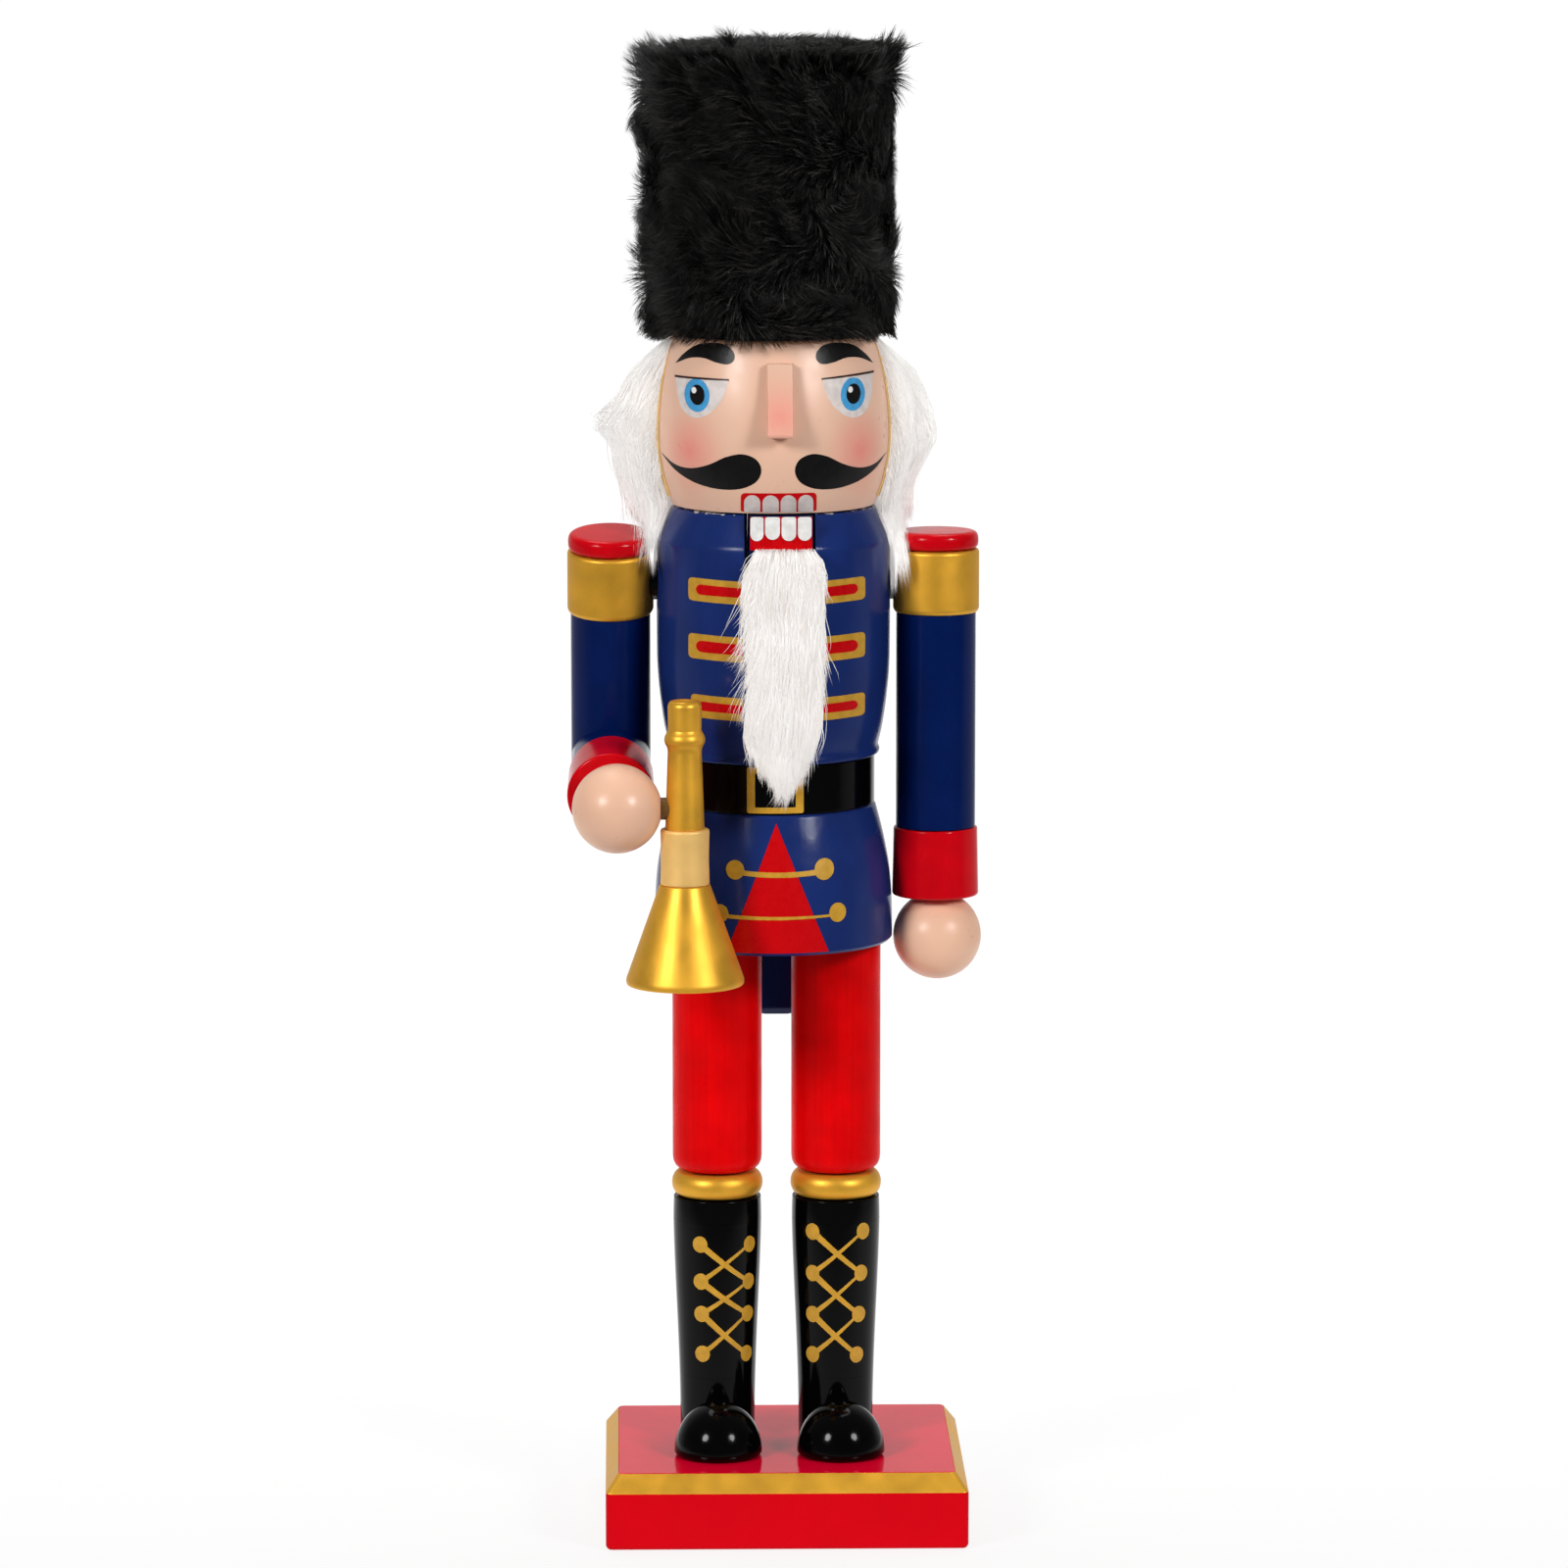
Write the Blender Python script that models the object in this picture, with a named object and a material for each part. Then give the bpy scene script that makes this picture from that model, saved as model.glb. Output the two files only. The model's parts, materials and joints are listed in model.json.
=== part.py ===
"""Wooden toy-soldier nutcracker, about 380 mm tall, standing on a painted block.

Lengths are in millimetres here and become metres where a mesh is made. The figure faces -Y and
stands on z = 0, with the origin under its own axis. "right" is the figure's own right side, at -X,
where the hand holds the horn.
"""
import math

import bmesh
import bpy
from mathutils import Matrix

MM = 0.001
GAP = 0.3                      # clearance between pieces that touch
OVERSHOOT = 2.0                # how far a cutter runs past the surface that it cuts
OUTSIDE = 45.0                 # further out than any surface of the torso or head

# The block that the figure stands on
BASE_WIDTH, BASE_DEPTH, BASE_HEIGHT = 91.6, 82.5, 19.2
BASE_EDGE_HEIGHT = 14.7        # the chamfer starts here
BASE_CHAMFER = 3.3
BASE_SHIFT = 2.7               # the figure stands a little to the right of the block's middle
BASE_CORNER = 1.5

# Legs, from the block up
LEG_X, LEG_SHIFT = 15.15, 0.8    # the legs stand a little to the left of the torso's axis
LEG_Y = 1.0
BOOT_TOP = 83.0
BOOT_FOOT_RADIUS, BOOT_CALF_RADIUS, BOOT_TOP_RADIUS = 9.4, 11.3, 11.0
BOOT_CALF_HEIGHT = 76.0
TOE_X, TOE_Y, TOE_SHIFT = 15.6, -17.5, 1.2
TOE_RADIUS, TOE_HEIGHT = 11.2, 13.5
RING_TOP = 89.5
RING_RADIUS, RING_SHOULDER_RADIUS = 11.6, 9.6
TROUSER_TOP = 150.0
TROUSER_RADIUS, TROUSER_ROUND = 11.4, 4.0
DOWEL_RADIUS, DOWEL_REACH = 3.0, 12.0   # a leg dowel goes this far into each piece
SCREW_RADIUS, SCREW_HEAD_RADIUS, SCREW_HEAD_HEIGHT = 1.8, 4.0, 3.0
SCREW_SINK = 4.0               # the screw heads sit this far above the underside
SCREW_REACH = 18.0             # how far a screw goes into its boot

# Torso
SKIRT_TOP, BELT_TOP, CHEST_TOP = 185.0, 197.8, 260.8
SKIRT_PROFILE = [(30.2, 0.0), (30.1, 11.0), (29.4, 19.0), (28.0, 26.5), (26.0, 35.0)]
BELT_RADIUS = 25.7
CHEST_PROFILE = [(26.9, 0.0), (26.9, 1.2), (26.6, 2.0), (27.7, 7.5), (28.9, 16.0), (29.5, 27.0),
                 (29.6, 54.8), (25.6, 63.0)]
WAIST_DOWEL_RADIUS, WAIST_DOWEL_REACH = 6.0, 13.0
SLOT_X, SLOT_WIDTH, SLOT_FLOOR = 1.1, 17.7, 217.6

# Jaw lever: it turns on a pin across the chest, and its tail hangs down the back
JAW_PIN_Y, JAW_PIN_Z, JAW_PIN_RADIUS, JAW_PIN_REACH = 6.0, 234.0, 1.6, 26.0
LEVER_X, LEVER_WIDTH = 1.4, 15.9
JAW_FRONT_Y = -28.5
JAW_TOP, JAW_UNDERSIDE = 260.75, 226.0
TAIL_INNER_Y, TAIL_OUTER_Y, TAIL_BOTTOM = 31.2, 38.0, 124.0
TAIL_CORNER = 5.0
BEARD_TOP = 252.7

# Head, hair and hat
HEAD_TOP = 304.2
HEAD_END_RADIUS, HEAD_RADIUS, HEAD_WIDEST = 25.5, 30.0, 280.0
NECK_DOWEL_X, NECK_DOWEL_RADIUS, NECK_DOWEL_REACH = 17.5, 2.5, 9.0
NOSE_X, NOSE_WIDTH, NOSE_BOTTOM, NOSE_TOP, NOSE_ROOT_Y = 1.1, 6.4, 281.0, 299.0, -25.5
HAIR_TOP, HAIR_BOTTOM = 302.6, 264.0
HAIR_INNER, HAIR_START = 30.5, 70.0   # the strip starts this many degrees round from the nose
HAT_BOTTOM, HAT_TOP = 303.0, 377.0
HAT_CORE_BOTTOM, HAT_CORE_TOP, HAT_CORE_RADIUS = 304.6, 373.0, 27.5
HAT_DOWEL_RADIUS, HAT_DOWEL_REACH = 4.0, 10.0
HAT_FOOT_RADIUS, HAT_CROWN_RADIUS, HAT_EDGE = 31.6, 33.4, 4.0

# Arms: they turn on a peg through the shoulder band
ARM_X, SHOULDER_Z = 41.2, 241.5
RIGHT_ARM_TILT = 8.5           # degrees that the bent arm's elbow lies back
BAND_RADIUS, BAND_HALF = 10.9, 8.0
CAP_RADIUS, CAP_HEIGHT = 10.7, 4.3
SLEEVE_RADIUS, SLEEVE_END = 10.1, 62.8
CUFF_RADIUS, CUFF_END_RADIUS, CUFF_LENGTH = 10.7, 11.0, 17.5
HAND_RADIUS, HAND_SET = 11.2, 10.5    # the ball's centre lies HAND_SET past the cuff
HAND_SHIFT = {"right": 1.5, "left": 0.5}    # and this far to one side of the arm's axis
ELBOW_DROP, FOREARM_START_CUFF = 46.3, 18.0
PEG_RADIUS, PEG_IN_CHEST, PEG_IN_ARM = 2.6, 19.0, 45.0
SPACER_RADIUS, SPACER_INNER, SPACER_OUTER = 5.0, 28.2, 32.4

# Horn, upright in the right hand
HORN_X = -22.8
HORN_RIM_Z, HORN_BELL_TOP, HORN_FERRULE_TOP, HORN_TUBE_TOP, HORN_TOP = 144.6, 170.0, 184.0, 209.0, 216.0
HORN_RIM_RADIUS, HORN_NECK_RADIUS, HORN_FERRULE_RADIUS = 14.8, 6.0, 6.1
HORN_DISH_DEPTH = 2.5
HORN_PEG_RADIUS = 2.8

WOOD = (0.62, 0.43, 0.25)
RED = (0.65, 0.0, 0.01)
BLUE = (0.01, 0.035, 0.17)
BLACK = (0.006, 0.006, 0.007)
GOLD = (0.52, 0.27, 0.03)
SKIN = (0.84, 0.55, 0.39)
WHITE = (0.85, 0.83, 0.8)
STEEL = (0.45, 0.45, 0.46)


def material(name, colour, roughness=0.25, metallic=0.0):
    made = bpy.data.materials.new(name)
    made.use_nodes = True
    shader = made.node_tree.nodes["Principled BSDF"]
    shader.inputs["Base Color"].default_value = (*colour, 1.0)
    shader.inputs["Roughness"].default_value = roughness
    shader.inputs["Metallic"].default_value = metallic
    return made


def arc(centre_radius, centre_height, radius, start, end, steps):
    """Points (radius, height) on a profile's arc; the angles are degrees up from the +radius side."""
    angles = [math.radians(start + (end - start) * i / steps) for i in range(steps + 1)]
    return [(centre_radius + radius * math.cos(a), centre_height + radius * math.sin(a)) for a in angles]


def add_mesh(name, mesh_data, paint):
    """An object with outward faces from a bmesh whose points are in millimetres."""
    bmesh.ops.scale(mesh_data, vec=(MM, MM, MM), verts=mesh_data.verts)
    bmesh.ops.recalc_face_normals(mesh_data, faces=mesh_data.faces)
    mesh = bpy.data.meshes.new(name)
    mesh_data.to_mesh(mesh)
    mesh_data.free()
    mesh.shade_smooth()
    mesh.set_sharp_from_angle(angle=math.radians(35))
    made = bpy.data.objects.new(name, mesh)
    bpy.context.scene.collection.objects.link(made)
    if paint:
        mesh.materials.append(paint)
    return made


def loft(name, rings, paint=None):
    """A closed solid through closed rings that all have the same number of points."""
    mesh_data = bmesh.new()
    rows = [[mesh_data.verts.new(point) for point in ring] for ring in rings]
    count = len(rows[0])
    for lower, upper in zip(rows, rows[1:]):
        for i in range(count):
            j = (i + 1) % count
            mesh_data.faces.new((lower[i], lower[j], upper[j], upper[i]))
    mesh_data.faces.new(rows[0])
    mesh_data.faces.new(rows[-1])
    return add_mesh(name, mesh_data, paint)


def turned(name, profile, paint=None, segments=24):
    """A solid turned about Z from (radius, height) points that run from its bottom to its top."""
    mesh_data = bmesh.new()
    rows = []
    for radius, height in profile:
        if radius < 1e-6:
            rows.append([mesh_data.verts.new((0.0, 0.0, height))])
            continue
        turns = [2 * math.pi * i / segments for i in range(segments)]
        rows.append([mesh_data.verts.new((radius * math.cos(a), radius * math.sin(a), height)) for a in turns])
    for lower, upper in zip(rows, rows[1:]):
        for i in range(segments):
            j = (i + 1) % segments
            ring = [lower[i % len(lower)], lower[j % len(lower)], upper[j % len(upper)], upper[i % len(upper)]]
            mesh_data.faces.new(list(dict.fromkeys(ring)))
    for end in (rows[0], rows[-1]):
        if len(end) > 1:
            mesh_data.faces.new(end)
    return add_mesh(name, mesh_data, paint)


def place(made, x=0.0, y=0.0, z=0.0, turn=(0.0, 0.0, 0.0), parent=None):
    """Move an object to a point in millimetres and turn it by angles in degrees."""
    made.location = (x * MM, y * MM, z * MM)
    made.rotation_euler = [math.radians(angle) for angle in turn]
    made.parent = parent
    return made


def cut(made, cutter, operation="DIFFERENCE"):
    cutter.hide_render = True
    cutter.display_type = "WIRE"
    boolean = made.modifiers.new(cutter.name, "BOOLEAN")
    boolean.operation = operation
    boolean.solver = "EXACT"
    boolean.object = cutter


def rod(name, radius, start, end, paint=None, segments=16):
    """A plain round bar along Z between two heights."""
    return turned(name, [(radius, start), (radius, end)], paint, segments)


def block(name, low, high, paint=None):
    """A box between two corners."""
    outline = [(low[0], low[1]), (high[0], low[1]), (high[0], high[1]), (low[0], high[1])]
    return loft(name, [[(x, y, z) for x, y in outline] for z in (low[2], high[2])], paint)


def rounded_rectangle(half_width, half_depth, corner, steps=3):
    points = []
    for quarter, (sx, sy) in enumerate(((1, 1), (-1, 1), (-1, -1), (1, -1))):
        for i in range(steps + 1):
            angle = math.radians(90 * quarter + 90 * i / steps)
            points.append((sx * (half_width - corner) + corner * math.cos(angle),
                           sy * (half_depth - corner) + corner * math.sin(angle)))
    return points


def make_base(paints):
    levels = [(0.0, 0.0), (0.0, BASE_EDGE_HEIGHT), (BASE_CHAMFER, BASE_HEIGHT)]
    rings = []
    for inset, height in levels:
        outline = rounded_rectangle(BASE_WIDTH / 2 - inset, BASE_DEPTH / 2 - inset, BASE_CORNER)
        rings.append([(x, y, height) for x, y in outline])
    base = place(loft("base_block", rings, paints["red"]), BASE_SHIFT)
    for side_name, side in (("right", -1), ("left", 1)):
        hole = turned(f"cut_base_hole_{side_name}",
                      [(SCREW_HEAD_RADIUS + GAP, -OVERSHOOT),
                       (SCREW_HEAD_RADIUS + GAP, SCREW_SINK + SCREW_HEAD_HEIGHT + GAP),
                       (SCREW_RADIUS + GAP, SCREW_SINK + SCREW_HEAD_HEIGHT + GAP),
                       (SCREW_RADIUS + GAP, BASE_HEIGHT + OVERSHOOT)], segments=16)
        cut(base, place(hole, LEG_SHIFT + side * LEG_X, LEG_Y))
        screw_top = BASE_HEIGHT + SCREW_REACH
        screw = turned(f"base_screw_{side_name}",
                       [(SCREW_HEAD_RADIUS, SCREW_SINK), (SCREW_HEAD_RADIUS, SCREW_SINK + SCREW_HEAD_HEIGHT),
                        (SCREW_RADIUS, SCREW_SINK + SCREW_HEAD_HEIGHT), (SCREW_RADIUS, screw_top - 4.0),
                        (0.0, screw_top)], paints["steel"], 16)
        place(screw, LEG_SHIFT + side * LEG_X, LEG_Y)


def make_leg(side_name, side, paints):
    """Boot, toe, knee ring and trouser leg, held by a screw below and by two dowels."""
    foot = BASE_HEIGHT + GAP
    boot = turned(f"boot_{side_name}",
                  [(BOOT_FOOT_RADIUS, foot), (BOOT_FOOT_RADIUS + 0.4, 45.0), (BOOT_CALF_RADIUS - 0.3, 64.0),
                   (BOOT_CALF_RADIUS, BOOT_CALF_HEIGHT), (BOOT_TOP_RADIUS, BOOT_TOP - 1.5),
                   (BOOT_TOP_RADIUS - 1.5, BOOT_TOP)], paints["black"])
    place(boot, LEG_SHIFT + side * LEG_X, LEG_Y)
    screw_hole = rod(f"cut_boot_screw_{side_name}", SCREW_RADIUS + GAP, foot - OVERSHOOT,
                     BASE_HEIGHT + SCREW_REACH + GAP)
    knee_hole = rod(f"cut_knee_{side_name}", DOWEL_RADIUS + GAP, BOOT_TOP - DOWEL_REACH - GAP,
                    RING_TOP + DOWEL_REACH + GAP)
    hip_hole = rod(f"cut_hip_{side_name}", DOWEL_RADIUS + GAP, TROUSER_TOP - DOWEL_REACH - GAP,
                   TROUSER_TOP + DOWEL_REACH + GAP)
    for cutter in (screw_hole, knee_hole, hip_hole):
        place(cutter, LEG_SHIFT + side * LEG_X, LEG_Y)
    cut(boot, screw_hole)
    cut(boot, knee_hole)

    welt = 0.8
    dome = [(TOE_RADIUS * math.cos(a), foot + welt + (TOE_HEIGHT - welt) * math.sin(a))
            for a in [math.radians(15 * i) for i in range(6)]]
    toe = turned(f"toe_cap_{side_name}", [(TOE_RADIUS - welt, foot)] + dome + [(0.0, foot + TOE_HEIGHT)],
                 paints["black"])
    place(toe, TOE_SHIFT + side * TOE_X, TOE_Y)
    heel_room = rod(f"cut_toe_{side_name}", BOOT_FOOT_RADIUS + GAP + 0.15, foot - OVERSHOOT,
                    foot + TOE_HEIGHT + OVERSHOOT, segments=28)
    cut(toe, place(heel_room, LEG_SHIFT + side * LEG_X, LEG_Y))

    ring_middle, ring_half = (BOOT_TOP + GAP + RING_TOP) / 2, (RING_TOP - BOOT_TOP - GAP) / 2
    bulge = [(RING_SHOULDER_RADIUS + (RING_RADIUS - RING_SHOULDER_RADIUS) * math.cos(a),
              ring_middle + ring_half * math.sin(a)) for a in [math.radians(30 * i) for i in range(-3, 4)]]
    ring = turned(f"knee_ring_{side_name}", bulge, paints["gold"])
    cut(place(ring, LEG_SHIFT + side * LEG_X, LEG_Y), knee_hole)

    edge = arc(TROUSER_RADIUS - TROUSER_ROUND, RING_TOP + GAP + TROUSER_ROUND, TROUSER_ROUND, -90, 0, 4)
    trouser = turned(f"trouser_leg_{side_name}", edge + [(TROUSER_RADIUS, TROUSER_TOP - GAP)], paints["red"])
    place(trouser, LEG_SHIFT + side * LEG_X, LEG_Y)
    cut(trouser, knee_hole)
    cut(trouser, hip_hole)

    for name, low, high in (("knee_dowel", BOOT_TOP, RING_TOP), ("hip_dowel", TROUSER_TOP, TROUSER_TOP)):
        dowel = rod(f"{name}_{side_name}", DOWEL_RADIUS, low - DOWEL_REACH, high + DOWEL_REACH, paints["wood"])
        place(dowel, LEG_SHIFT + side * LEG_X, LEG_Y)
    return hip_hole


def make_torso(paints, hip_holes):
    skirt = turned("skirt", [(radius, TROUSER_TOP + height) for radius, height in SKIRT_PROFILE],
                   paints["blue"], 36)
    belt = turned("belt_block", [(BELT_RADIUS, SKIRT_TOP + GAP), (BELT_RADIUS, BELT_TOP - GAP)],
                  paints["black"], 36)
    chest = turned("chest", [(radius, BELT_TOP + height) for radius, height in CHEST_PROFILE],
                   paints["blue"], 36)
    waist_hole = rod("cut_waist", WAIST_DOWEL_RADIUS + GAP, SKIRT_TOP - WAIST_DOWEL_REACH - GAP,
                     BELT_TOP + WAIST_DOWEL_REACH + GAP)
    for piece in (skirt, belt, chest):
        cut(piece, waist_hole)
    for hole in hip_holes:
        cut(skirt, hole)
    rod("waist_dowel", WAIST_DOWEL_RADIUS, SKIRT_TOP - WAIST_DOWEL_REACH, BELT_TOP + WAIST_DOWEL_REACH,
        paints["wood"])

    slot = block("cut_slot", (SLOT_X - SLOT_WIDTH / 2, -OUTSIDE, SLOT_FLOOR),
                 (SLOT_X + SLOT_WIDTH / 2, OUTSIDE, CHEST_TOP + OVERSHOOT))
    cut(chest, slot)
    return chest


def make_jaw(paints, chest):
    """The lever with the lower jaw at its front end, its pin, and the fur beard glued to it."""
    lever_outline = [(JAW_FRONT_Y, JAW_TOP), (JAW_FRONT_Y, JAW_UNDERSIDE), (JAW_PIN_Y - 4.0, JAW_UNDERSIDE),
                     (JAW_PIN_Y + 2.0, SLOT_FLOOR + 2.0), (TAIL_INNER_Y, SLOT_FLOOR + 2.0),
                     (TAIL_INNER_Y, TAIL_BOTTOM + 2.0), (TAIL_INNER_Y + 2.0, TAIL_BOTTOM),
                     (TAIL_OUTER_Y - 2.5, TAIL_BOTTOM), (TAIL_OUTER_Y, TAIL_BOTTOM + 4.0),
                     (TAIL_OUTER_Y, 240.0), (TAIL_OUTER_Y - 7.0, 249.0), (JAW_PIN_Y, 250.0), (-5.0, JAW_TOP)]
    half = LEVER_WIDTH / 2
    lever_sides = (LEVER_X - half - 1.0, LEVER_X + half + 1.0)
    lever = loft("jaw_lever", [[(x, y, z) for y, z in lever_outline] for x in lever_sides], paints["blue"])
    corners = arc(half - TAIL_CORNER, TAIL_BOTTOM + TAIL_CORNER, TAIL_CORNER, -90, 0, 4)
    above = CHEST_TOP + OVERSHOOT
    plate = [(-x, z) for x, z in reversed(corners)] + corners + [(half, above), (-half, above)]
    outline = loft("cut_lever_corners", [[(LEVER_X + x, y, z) for x, z in plate] for y in (-OUTSIDE, OUTSIDE)])
    cut(lever, outline, "INTERSECT")

    pin_hole = rod("cut_jaw_pin", JAW_PIN_RADIUS + 0.1, -JAW_PIN_REACH - GAP, OUTSIDE)   # open at one end
    place(pin_hole, 0.0, JAW_PIN_Y, JAW_PIN_Z, (0, 90, 0))
    cut(lever, pin_hole)
    cut(chest, pin_hole)
    pin = rod("jaw_pin", JAW_PIN_RADIUS, -JAW_PIN_REACH, JAW_PIN_REACH, paints["steel"])
    place(pin, 0.0, JAW_PIN_Y, JAW_PIN_Z, (0, 90, 0))

    # Heights, half widths, and the back and front of the hanging fur
    sections = [(BEARD_TOP, 7.6, -28.8, -31.5), (246.0, 8.6, -29.6, -34.5), (236.0, 9.4, -31.0, -37.0),
                (222.0, 10.2, -32.6, -39.5), (206.0, 8.4, -34.0, -40.5), (195.0, 4.8, -34.7, -39.0),
                (189.8, 2.2, -35.2, -37.5)]
    rings = []
    for height, half_width, back, front in sections:
        front_curve = [(half_width * math.cos(a), back + (front - back) * math.sin(a))
                       for a in [math.radians(180 * i / 8) for i in range(9)]]
        rings.append([(LEVER_X + x, y, height) for x, y in front_curve])
    loft("beard", rings, paints["white"])


def make_head(paints, chest):
    steps = 8
    levels = [CHEST_TOP + GAP + (HEAD_TOP - CHEST_TOP - GAP) * i / steps for i in range(steps + 1)]
    profile = []
    for height in levels:
        end = CHEST_TOP if height < HEAD_WIDEST else HEAD_TOP
        share = (height - HEAD_WIDEST) / (end - HEAD_WIDEST)
        profile.append((HEAD_RADIUS - (HEAD_RADIUS - HEAD_END_RADIUS) * share ** 2, height))
    head = turned("head", profile, paints["skin"], 32)

    # The wedge nose stands in a recess in the face
    half = NOSE_WIDTH / 2
    side_outline = [(NOSE_ROOT_Y, NOSE_BOTTOM), (-35.6, NOSE_BOTTOM), (-36.0, NOSE_BOTTOM + 0.8),
                    (-29.6, NOSE_TOP), (NOSE_ROOT_Y, NOSE_TOP)]
    loft("nose", [[(x, y, z) for y, z in side_outline] for x in (NOSE_X - half, NOSE_X + half)], paints["skin"])
    recess = block("cut_nose", (NOSE_X - half - GAP, -OUTSIDE, NOSE_BOTTOM - GAP),
                   (NOSE_X + half + GAP, NOSE_ROOT_Y + GAP, NOSE_TOP + GAP))
    cut(head, recess)

    for side_name, side in (("right", -1), ("left", 1)):
        neck_hole = rod(f"cut_neck_{side_name}", NECK_DOWEL_RADIUS + GAP, CHEST_TOP - NECK_DOWEL_REACH - GAP,
                        CHEST_TOP + NECK_DOWEL_REACH + GAP)
        place(neck_hole, side * NECK_DOWEL_X, 0.0)
        cut(head, neck_hole)
        cut(chest, neck_hole)
        dowel = rod(f"neck_dowel_{side_name}", NECK_DOWEL_RADIUS, CHEST_TOP - NECK_DOWEL_REACH,
                    CHEST_TOP + NECK_DOWEL_REACH, paints["wood"])
        place(dowel, side * NECK_DOWEL_X, 0.0)
    return head


def make_hair(paints):
    """A strip of long fur glued round the sides and the back of the head."""
    rings = []
    steps = 16
    for i in range(steps + 1):
        angle = math.radians(HAIR_START + (360 - 2 * HAIR_START) * i / steps)
        puff = min(1.0, 0.35 + 2.6 * min(i, steps - i) / steps)
        section = [(HAIR_INNER, HAIR_TOP), (HAIR_INNER, HAIR_BOTTOM), (HAIR_INNER + 3.0 + puff, HAIR_BOTTOM),
                   (HAIR_INNER + 3.0 + 5.0 * puff, 274.0), (HAIR_INNER + 3.0 + 5.5 * puff, 288.0),
                   (HAIR_INNER + 1.5 + 1.5 * puff, HAIR_TOP)]
        rings.append([(radius * math.sin(angle), -radius * math.cos(angle), z) for radius, z in section])
    loft("hair_strip", rings, paints["white"])


def make_hat(paints, head):
    core = turned("hat_core", [(HAT_CORE_RADIUS, HAT_CORE_BOTTOM), (HAT_CORE_RADIUS, HAT_CORE_TOP)],
                  paints["wood"], 36)
    dowel_hole = rod("cut_hat_dowel", HAT_DOWEL_RADIUS + GAP, HEAD_TOP - HAT_DOWEL_REACH - GAP,
                     HAT_CORE_BOTTOM + HAT_DOWEL_REACH + GAP)
    cut(head, dowel_hole)
    cut(core, dowel_hole)
    rod("hat_dowel", HAT_DOWEL_RADIUS, HEAD_TOP - HAT_DOWEL_REACH, HAT_CORE_BOTTOM + HAT_DOWEL_REACH,
        paints["wood"])

    edge = arc(HAT_CROWN_RADIUS - HAT_EDGE, HAT_TOP - HAT_EDGE, HAT_EDGE, 0, 90, 3)
    fur = turned("hat_fur", [(HAT_FOOT_RADIUS - 1.0, HAT_BOTTOM), (HAT_FOOT_RADIUS, HAT_BOTTOM + 2.0),
                             (HAT_FOOT_RADIUS + 0.6, 335.0)] + edge, paints["black"], 36)
    room = rod("cut_hat_core", HAT_CORE_RADIUS + GAP, HAT_BOTTOM - OVERSHOOT, HAT_CORE_TOP + GAP, segments=36)
    cut(fur, room)


def make_shoulder(side_name, side, paints, chest):
    """The fixed peg that an arm turns on, with the spacer between arm and chest."""
    across = (0, 90 * side, 0)
    spacer = rod(f"shoulder_spacer_{side_name}", SPACER_RADIUS, SPACER_INNER, SPACER_OUTER, paints["blue"])
    peg = rod(f"shoulder_peg_{side_name}", PEG_RADIUS, PEG_IN_CHEST, PEG_IN_ARM, paints["wood"])
    peg_hole = rod(f"cut_peg_{side_name}", PEG_RADIUS + GAP, PEG_IN_CHEST - GAP, PEG_IN_ARM + GAP)
    spacer_hole = rod(f"cut_spacer_{side_name}", SPACER_RADIUS + GAP, SPACER_INNER - GAP, SPACER_OUTER + GAP)
    for made in (spacer, peg, peg_hole, spacer_hole):
        place(made, 0.0, 0.0, SHOULDER_Z, across)
    cut(spacer, peg_hole)
    cut(chest, peg_hole)
    cut(chest, spacer_hole)
    return [peg_hole, spacer_hole]


def make_arm_frame(side_name, side, tilt):
    frame = bpy.data.objects.new(f"{side_name}_arm_pivot", None)
    bpy.context.scene.collection.objects.link(frame)
    return place(frame, side * ARM_X, 0.0, SHOULDER_Z, (tilt, 0, 0))


def make_upper_arm(side_name, frame, sleeve_profile, shoulder_holes, paints):
    """Cap, band and sleeve, hanging down -Z from the shoulder."""
    rounding = 1.8
    cap_foot = BAND_HALF + GAP
    crown = arc(CAP_RADIUS - rounding, cap_foot + CAP_HEIGHT - rounding, rounding, 0, 90, 3)
    cap = turned(f"shoulder_cap_{side_name}", [(CAP_RADIUS - 0.8, cap_foot), (CAP_RADIUS, cap_foot + 0.8)]
                 + crown, paints["red"])
    band = turned(f"shoulder_band_{side_name}",
                  [(BAND_RADIUS - 0.9, -BAND_HALF), (BAND_RADIUS, -BAND_HALF + 1.6),
                   (BAND_RADIUS, BAND_HALF - 0.4), (BAND_RADIUS - 0.4, BAND_HALF)], paints["gold"])
    sleeve = turned(f"sleeve_{side_name}", sleeve_profile, paints["blue"])
    for piece in (cap, band, sleeve):
        place(piece, parent=frame)
    for hole in shoulder_holes:
        cut(band, hole)


def make_cuff_and_hand(side_name, frame, start, direction, paints):
    """A cuff and a ball hand, from a point in the arm's frame; direction turns +Z along the arm."""
    cuff = turned(f"cuff_{side_name}", [(CUFF_RADIUS - 0.4, 0.0), (CUFF_RADIUS, 0.5),
                                        (CUFF_END_RADIUS, CUFF_LENGTH - 0.5),
                                        (CUFF_END_RADIUS - 0.5, CUFF_LENGTH)], paints["red"])
    flat = math.degrees(math.asin((HAND_SET - GAP) / HAND_RADIUS))
    ball = arc(0.0, CUFF_LENGTH + HAND_SET, HAND_RADIUS, -flat, 90, 9)[:-1]
    hand = turned(f"hand_{side_name}", ball + [(0.0, CUFF_LENGTH + HAND_SET + HAND_RADIUS)], paints["skin"])
    place(cuff, *start, direction, frame)
    place(hand, start[0] + HAND_SHIFT[side_name], start[1], start[2], direction, frame)
    return hand


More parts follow.
